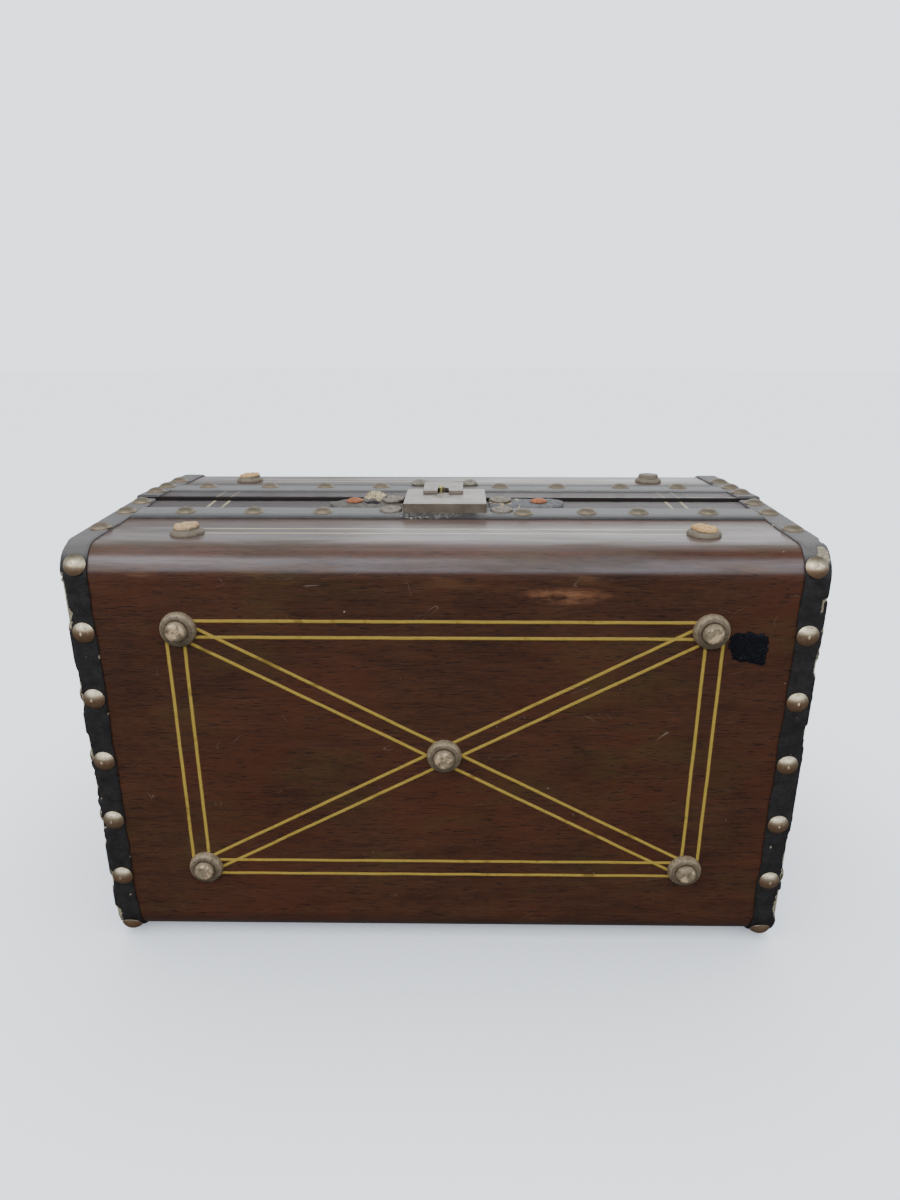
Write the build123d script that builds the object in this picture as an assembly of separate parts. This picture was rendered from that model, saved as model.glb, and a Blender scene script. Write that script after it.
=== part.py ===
from build123d import *

import os
from math import asin, atan2, cos, radians, sin, tan

# A small hard travel case of bent board, made of two equal half shells that are hinged
# along the bottom seam and closed by a lock on the top seam. Millimetres, +Z up.
# X runs along the case, -Y is the decorated front, and the origin is on the ground
# at the middle of the seam. The rear half is held and the front half swings down.

FRONT, REAR = -1, 1
SIDES = {"front": FRONT, "rear": REAR}
ENDS = {"left": -1, "right": 1}

# Case
CASE_WIDTH = 352.6
CASE_DEPTH = 192.0
EDGE_HEIGHT = 217.5
CORNER_RADIUS = 15.0
TOP_RISE = {FRONT: 2.0, REAR: 3.5}
SEAM_GAP = 3.0
LEATHER = 1.2
BOARD = 4.5
END_BOARD = 6.0
LINING = 0.8

HALF_DEPTH = CASE_DEPTH / 2
HALF_WOOD = CASE_WIDTH / 2 - LEATHER
INNER_END = HALF_WOOD - END_BOARD
HALF_GAP = SEAM_GAP / 2
WOOD_BASE = LEATHER
ABOVE = EDGE_HEIGHT + 30.0
BELOW = -20.0
FREE = 1.0

# Leather trim
BINDING_FACE = 12.6
BINDING_END = 13.0
STRAP_NEAR = 21.0
STRAP_FAR = 42.0
STRAP_MID = (STRAP_NEAR + STRAP_FAR) / 2

# Domed upholstery nails
NAIL_RADIUS = 5.2
NAIL_HEIGHT = 2.6
NAIL_SHANK_RADIUS = 0.7
NAIL_SHANK = 4.8
NAIL_RIM = 0.3
NAIL_EDGE = 7.3
NAIL_PITCH = 34.2
NAIL_LOWEST = 40.0
FRONT_NAILS = 5
CORNER_NAIL_ANGLE = 26.0
FOOT_NAIL_ANGLE = 33.0
TOP_NAILS = {FRONT: (64.0, STRAP_MID, 10.0), REAR: (53.0, STRAP_MID, 13.0)}
STRAP_NAIL_X = {
    (FRONT, -1): (137.5, 101.2, 64.9),
    (FRONT, 1): (137.5, 101.2, 73.9),
    (REAR, -1): (144.2, 107.0, 73.4, 39.8),
    (REAR, 1): (137.6, 103.4, 65.6, 31.6),
}
LOOSE_NAIL = (40.5, 33.5)

# Turned wooden bosses
BOSS_X = 124.5
BOSS_LOW = 45.5
BOSS_HIGH = 178.5
TOP_BOSS_X = {FRONT: 124.5, REAR: 127.0}
TOP_BOSS_Y = {FRONT: 70.0, REAR: 62.5}
BOSS_RADIUS = 8.65
BOSS_RIM = 0.8
BOSS_COLLAR = 3.6
BOSS_GROOVE = 0.5
BOSS_TIP_RADIUS = 5.2
BOSS_TIP_LIFT = 0.4
BOSS_LEDGE = 0.6
BOSS_HEIGHT = 6.5
BOSS_WORN_HEIGHT = 5.0
BOSS_FLAT = 2.4
BOSS_SHOULDER = (8.1, 2.35)
BOSS_CROWN = (0.75, 0.55)
BOSS_DOWEL_RADIUS = 1.6
BOSS_DOWEL = 3.6

# Alignment lip inside the front half
LIP_WALL = 3.0
LIP_DEEP = 16.0
LIP_REACH = 4.0
LIP_CLEAR = 0.5
LIP_TOP_DROP = 5.8

# Bottom hinges
HINGE_X = 110.0
HINGE_LENGTH = 40.0
HINGE_LEAF = 1.0
HINGE_REACH = 18.0
KNUCKLE_RADIUS = 2.0
KNUCKLE_MID = 19.2
KNUCKLE_GAP = 0.4
LEAF_SETBACK = 2.9
PIN_RADIUS = 1.0
PIN_CLEAR = 0.05
AXIS_Z = WOOD_BASE + KNUCKLE_RADIUS
RELIEF_ANGLE = 55.0
RELIEF_CLEAR = 0.6
NOTCH_REACH = 2.8
NOTCH_END_CLEAR = 0.5
SCREW_X = 14.0
SCREW_Y = 12.0
SCREW_HEAD_RADIUS = 2.2
SCREW_HEAD = 0.8
SCREW_RIM = 0.4
SCREW_RADIUS = 0.9
SCREW_LENGTH = 4.0

# Lock on the front half
LOCK_X = (-22.5, 21.3)
LOCK_Y = (-33.0, 5.0)
LOCK_TOP = EDGE_HEIGHT + TOP_RISE[FRONT] + 5.8
LOCK_WALL = 0.9
LOCK_EDGE = 0.7
LOCK_STEP_Y = -1.2
LOCK_STEP_Z = EDGE_HEIGHT + 3.9
LOCK_FLOOR = 0.6
BASE_GAP = 0.1
LOCK_MID_X = -2.0
CHANNEL_HALF = 3.2
CHANNEL_Y = -5.9
BASE_TOP = EDGE_HEIGHT + 4.6
BOLT_Z = (EDGE_HEIGHT + 5.0, EDGE_HEIGHT + 6.4)
BOLT_STRIP = (-12.0, -1.5, -8.0, -3.0)
BOLT_ARM = (-12.0, -8.0, -3.0, 2.2)
BOLT_BAR = (-8.0, -5.0, 0.6, 2.2)
STUD_X = -3.2
STUD_Y = -4.5
STUD_RADIUS = 1.0
KNOB_RADIUS = 1.6
KNOB_RIM = 0.5
KNOB_Z = (EDGE_HEIGHT + 10.2, EDGE_HEIGHT + 11.6)

# Hasp on the rear half
HASP_X = (-13.0, 9.0)
HASP_FRONT = -10.5
HASP_Z = (EDGE_HEIGHT + 8.15, EDGE_HEIGHT + 10.0)
HASP_ROUND = 0.8
HASP_BEVEL = 0.25
HASP_SLOT = (-5.1, 1.2)
HASP_SLOT_END = -2.6
HASP_AXIS_Y = 16.6
HASP_AXIS_Z = EDGE_HEIGHT + 8.2
HASP_KNUCKLE = 1.8
HASP_KNUCKLE_HALF = 4.0
HASP_GAP = 0.4
HASP_SETBACK = 2.2
HASP_PIN_RADIUS = 0.8
HASP_LEG_HALF = 1.9
HASP_LEG_Y = (-1.6, -0.4)
HASP_LEG_Z = EDGE_HEIGHT + 4.9
HASP_LEG_ROOT = 0.2
HASP_LEAF = 1.2
HASP_LEAF_Y = (17.0, 42.0)
HASP_EAR_Y = 33.0
HASP_EAR_RADIUS = 4.8
HASP_RIVET_X = 15.2
HASP_RIVET_Y = 37.5
RISER_Y = (17.0, 18.6)

# Disc rivets and what is left of the carrying handle
DISC_RADIUS = 6.0
DISC_HEIGHT = 1.9
DISC_RIM = 0.7
DISC_X = 29.5
DISC_Y = (-28.2, -9.6)
TAB_X = (23.5, 64.0)
TAB_Y = (-20.8, -2.2)
TAB_THICK = 2.4
TAB_RIVET_X = 50.5
TAB_RIVET_RADIUS = 4.6
TAB_RIVET_HEIGHT = 1.8
TAB_RIVET_RIM = 0.5
RIVET_SHANK_RADIUS = 1.0
RIVET_SHANK = 3.4


def top_slope(side):
    """Angle of the top board above the horizontal, rising towards the seam."""
    return atan2(TOP_RISE[side], HALF_DEPTH)


def top_z(side, y):
    """Height of the top board's outer face at a distance y from the seam."""
    return EDGE_HEIGHT + TOP_RISE[side] * (1 - abs(y) / HALF_DEPTH)


def outline(side, grow=0.0):
    """Cross-section of a half, from the seam plane outwards, grown outwards by grow."""
    far = HALF_DEPTH + grow
    lift = grow / cos(top_slope(side))
    points = [
        (0, WOOD_BASE - grow),
        (side * far, WOOD_BASE - grow),
        (side * far, top_z(side, far) + lift),
        (0, top_z(side, 0) + lift),
    ]
    face = make_face(Polyline(*points, close=True))
    outer = face.vertices().sort_by(lambda v: abs(v.X))[-2:]
    return fillet(outer, CORNER_RADIUS + grow)


def prism(face, x0, x1):
    """A cross-section in Y and Z carried along X from x0 to x1."""
    return Pos(x0, 0, 0) * extrude(Plane.YZ * face, amount=x1 - x0)


def block(x0, x1, y0, y1, z0, z1):
    """A box between two corners."""
    middle = Pos((x0 + x1) / 2, (y0 + y1) / 2, (z0 + z1) / 2)
    return middle * Box(abs(x1 - x0), abs(y1 - y0), abs(z1 - z0))


def between(side, near, far, z0=BELOW, z1=ABOVE):
    """A box over the whole width, between two distances from the seam."""
    return block(-CASE_WIDTH, CASE_WIDTH, side * near, side * far, z0, z1)


def seam_relief(side):
    """The wedge cut away under the hinge axis, so that the halves can turn apart."""
    apex = AXIS_Z + RELIEF_CLEAR
    low = -FREE
    reach = (apex - low) * tan(radians(RELIEF_ANGLE))
    wedge = make_face(Polyline((0, apex), (0, low), (side * reach, low), close=True))
    return prism(wedge, -CASE_WIDTH, CASE_WIDTH)


def trimmed(side, solid):
    """A solid cut back at the seam and under the hinge axis."""
    return (solid & between(side, HALF_GAP, CASE_DEPTH)) - seam_relief(side)


def single(solid):
    """The largest solid of a result, as a plain solid."""
    return solid.solids().sort_by(lambda s: s.volume)[-1]


def group(pieces):
    """Separate solids that share one node."""
    return Compound(children=[single(piece) for piece in pieces])


# Boards


def bent_board(side):
    """Top, face and bottom of a half in one bent board, recessed for the hinges."""
    section = outline(side) - outline(side, -BOARD)
    board = trimmed(side, prism(section, -HALF_WOOD, HALF_WOOD))
    for x in (-HINGE_X, HINGE_X):
        half = HINGE_LENGTH / 2
        rebate_top = WOOD_BASE + HINGE_LEAF
        board -= block(x - half, x + half, 0, side * HINGE_REACH, 0, rebate_top)
        notch = half + NOTCH_END_CLEAR
        board -= block(x - notch, x + notch, 0, side * NOTCH_REACH, 0, WOOD_BASE + BOARD + FREE)
    return board


def end_board(side, end):
    """The flat board that closes one end of a half."""
    return trimmed(side, prism(outline(side, -BOARD), end * INNER_END, end * HALF_WOOD))


def lining(side):
    """The thin sheet that covers the inside of a half."""
    outer = prism(outline(side, -BOARD), -INNER_END, INNER_END)
    cavity = outline(side, -BOARD - LINING)
    sheet = outer - prism(cavity, LINING - INNER_END, INNER_END - LINING)
    return trimmed(side, sheet)


def lip():
    """The inner collar of the front half, which enters the rear half when it closes."""
    half = INNER_END - LINING
    low = WOOD_BASE + BOARD + LINING
    high = top_z(FRONT, LIP_DEEP) - LIP_TOP_DROP
    seated = block(-half, half, -LIP_DEEP, -HALF_GAP, low, high)
    thin = half - LIP_CLEAR
    reach = block(-thin, thin, -HALF_GAP, LIP_REACH, low + LIP_CLEAR, high - LIP_CLEAR)
    hole_half = half - LIP_WALL
    hole = block(-hole_half, hole_half, -CASE_DEPTH, CASE_DEPTH, low + LIP_WALL, high - LIP_WALL)
    return seated + reach - hole


# Leather


def binding(side, end):
    """The leather that is folded over the edge between a half's faces and its end."""
    outer_x = CASE_WIDTH / 2
    band = outline(side, LEATHER) - outline(side)
    wrap = prism(band, end * (outer_x - BINDING_FACE), end * outer_x)
    ring = outline(side) - outline(side, -BINDING_END)
    return trimmed(side, wrap + prism(ring, end * HALF_WOOD, end * outer_x))


def level_strap(side, upper):
    """The leather strip along the top or the bottom of a half."""
    half = CASE_WIDTH / 2 - BINDING_FACE
    band = prism(outline(side, LEATHER) - outline(side), -half, half)
    z0, z1 = (EDGE_HEIGHT / 2, ABOVE) if upper else (BELOW, EDGE_HEIGHT / 2)
    return band & between(side, STRAP_NEAR, STRAP_FAR, z0, z1)


def end_strap(side, end):
    """The leather strip down one end of a half."""
    panel = prism(outline(side, -BINDING_END), end * HALF_WOOD, end * CASE_WIDTH / 2)
    return panel & between(side, STRAP_NEAR, STRAP_FAR)


# Nails, bosses and rivets


def turned(points, bulges):
    """A turned solid from a profile of (radius, height), with some spans bulged to a point."""
    edges = []
    for i, (a, b) in enumerate(zip(points, points[1:] + points[:1])):
        start, end = (a[0], 0, a[1]), (b[0], 0, b[1])
        if i in bulges:
            middle = bulges[i]
            edges.append(ThreePointArc(start, (middle[0], 0, middle[1]), end))
        else:
            edges.append(Line(start, end))
    return revolve(make_face(edges), Axis.Z)


def headed(radius, height, shank_radius, shank, rim=NAIL_RIM):
    """A round head, a ball-shaped cap above an upright rim, on a round shank."""
    rise = height - rim
    ball = (radius**2 + rise**2) / (2 * rise)
    half_turn = asin(radius / ball) / 2
    middle = (ball * sin(half_turn), height - ball + ball * cos(half_turn))
    points = [
        (0, -shank),
        (shank_radius, -shank),
        (shank_radius, 0),
        (radius, 0),
        (radius, rim),
        (0, height),
    ]
    return turned(points, {4: middle})


def boss(height):
    """A turned boss: a dished base, a groove and a small button, on a dowel."""
    neck = BOSS_TIP_RADIUS - BOSS_GROOVE
    points = [
        (0, -BOSS_DOWEL),
        (BOSS_DOWEL_RADIUS, -BOSS_DOWEL),
        (BOSS_DOWEL_RADIUS, 0),
        (BOSS_RADIUS, 0),
        (BOSS_RADIUS, BOSS_RIM),
        (BOSS_TIP_RADIUS + BOSS_LEDGE, BOSS_COLLAR),
        (neck, BOSS_COLLAR - BOSS_GROOVE),
        (BOSS_TIP_RADIUS, BOSS_COLLAR + BOSS_TIP_LIFT),
        (BOSS_FLAT, height),
        (0, height),
    ]
    out, up = BOSS_CROWN
    crown = ((BOSS_TIP_RADIUS + BOSS_FLAT) / 2 + out, (BOSS_COLLAR + height) / 2 + up)
    return turned(points, {4: BOSS_SHOULDER, 7: crown})


def on_face(side, x, z, grow=0.0):
    """A place on the front or rear face, facing outwards."""
    return Plane((x, side * (HALF_DEPTH + grow), z), z_dir=(0, side, 0)).location


def on_top(side, x, y, grow=0.0):
    """A place on the top, at a distance y from the seam, facing outwards."""
    slope = top_slope(side)
    normal = Vector(0, side * sin(slope), cos(slope))
    foot = Vector(x, side * y, top_z(side, y))
    return Plane(foot + normal * grow, z_dir=normal).location


def on_corner(side, x, angle, upper, grow=0.0):
    """A place on a rounded corner, angle degrees round from the flat face."""
    centre_y = HALF_DEPTH - CORNER_RADIUS
    up = 1 if upper else -1
    centre_z = EDGE_HEIGHT - CORNER_RADIUS if upper else WOOD_BASE + CORNER_RADIUS
    turn = radians(angle)
    normal = Vector(0, side * cos(turn), up * sin(turn))
    foot = Vector(x, side * centre_y, centre_z) + normal * (CORNER_RADIUS + grow)
    return Plane(foot, z_dir=normal).location


def on_end(end, y, z):
    """A place on the leather of an end, facing outwards."""
    return Plane((end * CASE_WIDTH / 2, y, z), z_dir=(end, 0, 0)).location


def nail():
    return headed(NAIL_RADIUS, NAIL_HEIGHT, NAIL_SHANK_RADIUS, NAIL_SHANK)


def nail_heights():
    return [NAIL_LOWEST + i * NAIL_PITCH for i in range(FRONT_NAILS)]


def binding_nails(side):
    """The nails of both bindings of a half, on its face, corners, top and ends."""
    places = []
    for end in ENDS.values():
        x = end * (CASE_WIDTH / 2 - NAIL_EDGE)
        places += [on_face(side, x, z, LEATHER) for z in nail_heights()]
        places.append(on_corner(side, x, CORNER_NAIL_ANGLE, True, LEATHER))
        places.append(on_corner(side, x, FOOT_NAIL_ANGLE, False, LEATHER))
        places += [on_top(side, x, y, LEATHER) for y in TOP_NAILS[side]]
        edge_y = side * (HALF_DEPTH - BINDING_END / 2)
        places += [on_end(end, edge_y, z) for z in nail_heights()]
    return group([place * nail() for place in places])


def strap_nails(side):
    """The nails of the top strap and of both end straps of a half."""
    places = []
    for end in ENDS.values():
        for x in STRAP_NAIL_X[(side, end)]:
            places.append(on_top(side, end * x, STRAP_MID, LEATHER))
        places += [on_end(end, side * STRAP_MID, z) for z in nail_heights()]
    if side == FRONT:
        places.append(on_top(side, *LOOSE_NAIL, LEATHER))
    return group([place * nail() for place in places])


def face_boss_places(side):
    places = {"centre": on_face(side, 0, (BOSS_LOW + BOSS_HIGH) / 2)}
    for end_name, end in ENDS.items():
        places["high_" + end_name] = on_face(side, end * BOSS_X, BOSS_HIGH)
        places["low_" + end_name] = on_face(side, end * BOSS_X, BOSS_LOW)
    return places


# Hinges


def barrel(x0, x1, y, z, radius):
    """A round bar along X."""
    return Plane((x0, y, z), x_dir=(0, 1, 0), z_dir=(1, 0, 0)).location * Cylinder(
        radius, x1 - x0, align=(Align.CENTER, Align.CENTER, Align.MIN)
    )


def hinge_leaf(side, x):
    """A hinge leaf with its knuckles: one in the middle in front, two behind."""
    half, mid = HINGE_LENGTH / 2, KNUCKLE_MID / 2
    split = mid + KNUCKLE_GAP
    spans = [(-mid, mid)] if side == FRONT else [(-half, -split), (split, half)]
    low, high = WOOD_BASE, WOOD_BASE + HINGE_LEAF
    leaf = block(x - half, x + half, side * LEAF_SETBACK, side * HINGE_REACH, low, high)
    for a, b in spans:
        leaf += block(x + a, x + b, 0, side * LEAF_SETBACK, low, high)
        leaf += barrel(x + a, x + b, 0, AXIS_Z, KNUCKLE_RADIUS)
    bore = barrel(x - half - FREE, x + half + FREE, 0, AXIS_Z, PIN_RADIUS + PIN_CLEAR)
    return leaf - bore


def hinge_pin(x):
    half = HINGE_LENGTH / 2
    return barrel(x - half, x + half, 0, AXIS_Z, PIN_RADIUS)


def hinge_screws(side):
    """Round-headed screws that hold the leaves from below."""
    screw = headed(SCREW_HEAD_RADIUS, SCREW_HEAD, SCREW_RADIUS, SCREW_LENGTH, SCREW_RIM)
    places = []
    for x in (-HINGE_X, HINGE_X):
        for dx in (-SCREW_X, 0, SCREW_X):
            foot = (x + dx, side * SCREW_Y, WOOD_BASE)
            places.append(Plane(foot, z_dir=(0, 0, -1)).location)
    return group([place * screw for place in places])


# Lock and hasp


def lock_case():
    """The pressed steel lock box, which also reaches over the edge of the rear half."""
    (x0, x1), (y0, y1) = LOCK_X, LOCK_Y
    low = EDGE_HEIGHT
    case = block(x0, x1, y0, y1, low, LOCK_TOP)
    case = fillet(case.edges().filter_by(Axis.Z), LOCK_EDGE)
    case = fillet(case.faces().sort_by(Axis.Z)[-1].edges(), LOCK_EDGE)
    wall = LOCK_WALL
    cavity = block(x0 + wall, x1 - wall, y0 + wall, LOCK_STEP_Y, low, LOCK_TOP - wall)
    floor = LOCK_STEP_Z + LOCK_FLOOR
    cavity += block(x0 + wall, x1 - wall, LOCK_STEP_Y, y1 - wall, floor, LOCK_TOP - wall)
    case -= cavity
    case -= block(x0, x1, LOCK_STEP_Y, y1, low, LOCK_STEP_Z)
    left, right = LOCK_MID_X - CHANNEL_HALF, LOCK_MID_X + CHANNEL_HALF
    case -= block(left, right, CHANNEL_Y, y1, floor, LOCK_TOP)
    return case - prism(outline(FRONT), x0, x1) - level_strap(FRONT, True)


def lock_base():
    """The block inside the lock box that the bolt slides on."""
    gap = LOCK_WALL + BASE_GAP
    near, far = LOCK_STEP_Y - BASE_GAP, LOCK_Y[0] + gap
    base = block(LOCK_X[0] + gap, LOCK_X[1] - gap, far, near, EDGE_HEIGHT, BASE_TOP)
    return base - prism(outline(FRONT), *LOCK_X) - level_strap(FRONT, True)


def lock_bolt():
    """The flat bolt: a strip that carries the knob, an arm and the bar that locks."""
    bolt = None
    for x0, x1, y0, y1 in (BOLT_STRIP, BOLT_ARM, BOLT_BAR):
        piece = block(x0, x1, y0, y1, *BOLT_Z)
        bolt = piece if bolt is None else bolt + piece
    return bolt


def lock_knob():
    """The small brass knob that moves the bolt, with its stud."""
    stud = KNOB_Z[0] - BOLT_Z[1]
    knob = headed(KNOB_RADIUS, KNOB_Z[1] - KNOB_Z[0], STUD_RADIUS, stud, KNOB_RIM)
    return Pos(STUD_X, STUD_Y, KNOB_Z[0]) * knob


def hasp():
    """The hinged steel plate over the lock, slotted for the knob, with its catch leg."""
    (x0, x1), (z0, z1) = HASP_X, HASP_Z
    plate_end = HASP_AXIS_Y - HASP_SETBACK
    plate = block(x0, x1, HASP_FRONT, plate_end, z0, z1)
    plate = fillet(plate.edges().filter_by(Axis.Z).sort_by(Axis.Y)[:2], HASP_ROUND)
    plate = chamfer(plate.faces().sort_by(Axis.Z)[-1].edges().sort_by(Axis.Y)[:-1], HASP_BEVEL)
    slot_radius = (HASP_SLOT[1] - HASP_SLOT[0]) / 2
    slot_mid = sum(HASP_SLOT) / 2
    round_y = HASP_SLOT_END - slot_radius
    plate -= block(*HASP_SLOT, HASP_FRONT, round_y, z0, z1)
    plate -= Pos(slot_mid, round_y, (z0 + z1) / 2) * Cylinder(slot_radius, z1 - z0 + FREE)
    left, right = LOCK_MID_X - HASP_KNUCKLE_HALF, LOCK_MID_X + HASP_KNUCKLE_HALF
    plate += block(left, right, plate_end, HASP_AXIS_Y, z0, z1)
    plate += barrel(left, right, HASP_AXIS_Y, HASP_AXIS_Z, HASP_KNUCKLE)
    leg_left, leg_right = LOCK_MID_X - HASP_LEG_HALF, LOCK_MID_X + HASP_LEG_HALF
    plate += block(leg_left, leg_right, *HASP_LEG_Y, HASP_LEG_Z, z0 + HASP_LEG_ROOT)
    return plate - barrel(x0, x1, HASP_AXIS_Y, HASP_AXIS_Z, HASP_PIN_RADIUS + PIN_CLEAR)


def hasp_leaf():
    """The fixed leaf of the hasp, bent up to its knuckles and eared for two rivets."""
    x0, x1 = HASP_X
    lie = prism(outline(REAR, LEATHER + HASP_LEAF) - outline(REAR), -CASE_WIDTH, CASE_WIDTH)
    near, far = HASP_LEAF_Y
    shape = block(x0, x1, near, HASP_RIVET_Y, EDGE_HEIGHT, ABOVE)
    left, right = LOCK_MID_X - HASP_RIVET_X, LOCK_MID_X + HASP_RIVET_X
    shape += block(left, right, HASP_EAR_Y, far, EDGE_HEIGHT, ABOVE)
    for x in (left, right):
        shape += Pos(x, HASP_RIVET_Y, EDGE_HEIGHT) * Cylinder(HASP_EAR_RADIUS, CASE_DEPTH)
    leaf = (lie & shape) - level_strap(REAR, True)
    gap = HASP_KNUCKLE_HALF + HASP_GAP
    for a, b in ((x0, LOCK_MID_X - gap), (LOCK_MID_X + gap, x1)):
        leaf += block(a, b, *RISER_Y, top_z(REAR, near) + LEATHER, HASP_AXIS_Z)
        leaf += barrel(a, b, HASP_AXIS_Y, HASP_AXIS_Z, HASP_KNUCKLE)
    bore = HASP_PIN_RADIUS + PIN_CLEAR
    return leaf - barrel(x0 - FREE, x1 + FREE, HASP_AXIS_Y, HASP_AXIS_Z, bore)


def hasp_pin():
    return barrel(*HASP_X, HASP_AXIS_Y, HASP_AXIS_Z, HASP_PIN_RADIUS)


def hasp_rivets():
    rivet = headed(NAIL_RADIUS, NAIL_HEIGHT, RIVET_SHANK_RADIUS, RIVET_SHANK + HASP_LEAF)
    grow = LEATHER + HASP_LEAF
    places = [on_top(REAR, LOCK_MID_X + s * HASP_RIVET_X, HASP_RIVET_Y, grow) for s in (-1, 1)]
    return group([place * rivet for place in places])


def handle_tab(end):
    """The leather tongue that once held the handle, with a round outer end."""
    lie = prism(outline(FRONT, TAB_THICK) - outline(FRONT), -CASE_WIDTH, CASE_WIDTH)
    (near, far), (y0, y1) = TAB_X, TAB_Y
    radius = (y1 - y0) / 2
    middle_y = (y0 + y1) / 2
    shape = block(end * near, end * (far - radius), y0, y1, EDGE_HEIGHT, ABOVE)
    shape += Pos(end * (far - radius), middle_y, EDGE_HEIGHT) * Cylinder(radius, CASE_DEPTH)
    return lie & shape


def disc_rivets():
    """The four broad rivets beside the lock: two on the strap, two on the tabs."""
    rivet = headed(DISC_RADIUS, DISC_HEIGHT, RIVET_SHANK_RADIUS, RIVET_SHANK, DISC_RIM)
    places = []
    for end in ENDS.values():
        for y, lift in zip(DISC_Y, (LEATHER, TAB_THICK)):
            places.append(on_top(FRONT, end * DISC_X, -y, lift))
    return group([place * rivet for place in places])


def tab_rivets():
    head = (TAB_RIVET_RADIUS, TAB_RIVET_HEIGHT)
    rivet = headed(*head, RIVET_SHANK_RADIUS, RIVET_SHANK, TAB_RIVET_RIM)
    middle_y = -(TAB_Y[0] + TAB_Y[1]) / 2
    places = [on_top(FRONT, end * TAB_RIVET_X, middle_y, TAB_THICK) for end in ENDS.values()]
    return group([place * rivet for place in places])


def half_nodes(name, side):
    """Every piece that both halves have."""
    nodes = {
        name + "_shell": bent_board(side),
        name + "_lining": lining(side),
        name + "_top_strap": level_strap(side, True),
        name + "_bottom_strap": level_strap(side, False),
        name + "_binding_nails": binding_nails(side),
        name + "_strap_nails": strap_nails(side),
        name + "_hinge_screws": hinge_screws(side),
    }
    for end_name, end in ENDS.items():
        nodes[f"{name}_{end_name}_end"] = end_board(side, end)
        nodes[f"{name}_{end_name}_binding"] = binding(side, end)
        nodes[f"{name}_{end_name}_strap"] = end_strap(side, end)
        nodes[f"{name}_{end_name}_hinge_leaf"] = hinge_leaf(side, end * HINGE_X)
        place = on_top(side, end * TOP_BOSS_X[side], TOP_BOSS_Y[side])
        height = BOSS_WORN_HEIGHT if side == FRONT else BOSS_HEIGHT
        nodes[f"{name}_boss_top_{end_name}"] = place * boss(height)
    for place_name, place in face_boss_places(side).items():
        nodes[f"{name}_boss_{place_name}"] = place * boss(BOSS_HEIGHT)
    return nodes


def all_nodes():
    nodes = {}
    for name, side in SIDES.items():
        nodes.update(half_nodes(name, side))
    for end_name, end in ENDS.items():
        nodes[f"{end_name}_hinge_pin"] = hinge_pin(end * HINGE_X)
        nodes[f"handle_tab_{end_name}"] = handle_tab(end)
    nodes["front_lip"] = lip()
    nodes["lock_case"] = lock_case()
    nodes["lock_base"] = lock_base()
    nodes["lock_bolt"] = lock_bolt()
    nodes["lock_knob"] = lock_knob()
    nodes["hasp"] = hasp()
    nodes["hasp_leaf"] = hasp_leaf()
    nodes["hasp_pin"] = hasp_pin()
    nodes["hasp_rivets"] = hasp_rivets()
    nodes["disc_rivets"] = disc_rivets()
    nodes["handle_tab_rivets"] = tab_rivets()
    return nodes


def main():
    os.makedirs("parts", exist_ok=True)
    for name, shape in all_nodes().items():
        node = shape if len(shape.solids()) > 1 else single(shape)
        node.label = name
        export_step(node, os.path.join("parts", name + ".step"))


if __name__ == "__main__":
    main()
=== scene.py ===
import math

import bpy
import numpy as np
from mathutils import Matrix, Vector


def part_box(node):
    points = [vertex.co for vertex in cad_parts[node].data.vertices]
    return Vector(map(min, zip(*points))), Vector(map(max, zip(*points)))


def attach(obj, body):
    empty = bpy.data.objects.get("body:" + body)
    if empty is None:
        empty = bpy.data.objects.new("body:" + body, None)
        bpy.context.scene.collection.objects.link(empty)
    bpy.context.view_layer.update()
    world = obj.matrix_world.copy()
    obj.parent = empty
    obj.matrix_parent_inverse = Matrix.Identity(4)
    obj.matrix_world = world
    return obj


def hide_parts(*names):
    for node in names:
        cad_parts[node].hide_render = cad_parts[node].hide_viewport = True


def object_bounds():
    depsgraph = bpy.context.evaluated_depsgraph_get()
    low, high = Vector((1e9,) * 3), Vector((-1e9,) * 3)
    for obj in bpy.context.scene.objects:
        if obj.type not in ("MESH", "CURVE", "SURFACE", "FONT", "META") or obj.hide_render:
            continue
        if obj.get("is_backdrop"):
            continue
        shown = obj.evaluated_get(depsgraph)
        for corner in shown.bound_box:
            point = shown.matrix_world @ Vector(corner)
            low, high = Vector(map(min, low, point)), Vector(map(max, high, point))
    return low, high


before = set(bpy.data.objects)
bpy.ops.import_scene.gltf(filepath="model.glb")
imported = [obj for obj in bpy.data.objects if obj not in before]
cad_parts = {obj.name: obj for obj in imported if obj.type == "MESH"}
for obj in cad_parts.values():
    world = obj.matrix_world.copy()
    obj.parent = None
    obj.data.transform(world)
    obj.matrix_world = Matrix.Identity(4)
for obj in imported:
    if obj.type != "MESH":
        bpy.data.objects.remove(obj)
CAD_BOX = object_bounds()

bl_info = {
    "name": "Small travel case",
    "version": (1, 0, 0),
    "blender": (4, 5, 0),
    "location": "3D Viewport > Sidebar > Case",
    "description": "Dresses the jointed frame of a hinged travel case in stained board, leather and metal",
    "category": "Object",
}

MM = 0.001
FRONT, REAR = -1, 1
SIDES = {"front": FRONT, "rear": REAR}
ENDS = {"left": -1, "right": 1}
BODY = {FRONT: "front_half", REAR: "rear_half"}


# Sizes read from the frame. Lengths in metres, +Z up, the seam at y = 0.


def low_high(node):
    """The two corners of a node as arrays."""
    low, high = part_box(node)
    return np.array(low), np.array(high)


def near_far(node):
    """Smallest and largest distance of a node from the seam."""
    low, high = low_high(node)
    ends = sorted((abs(low[1]), abs(high[1])))
    return ends[0], ends[1]


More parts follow.
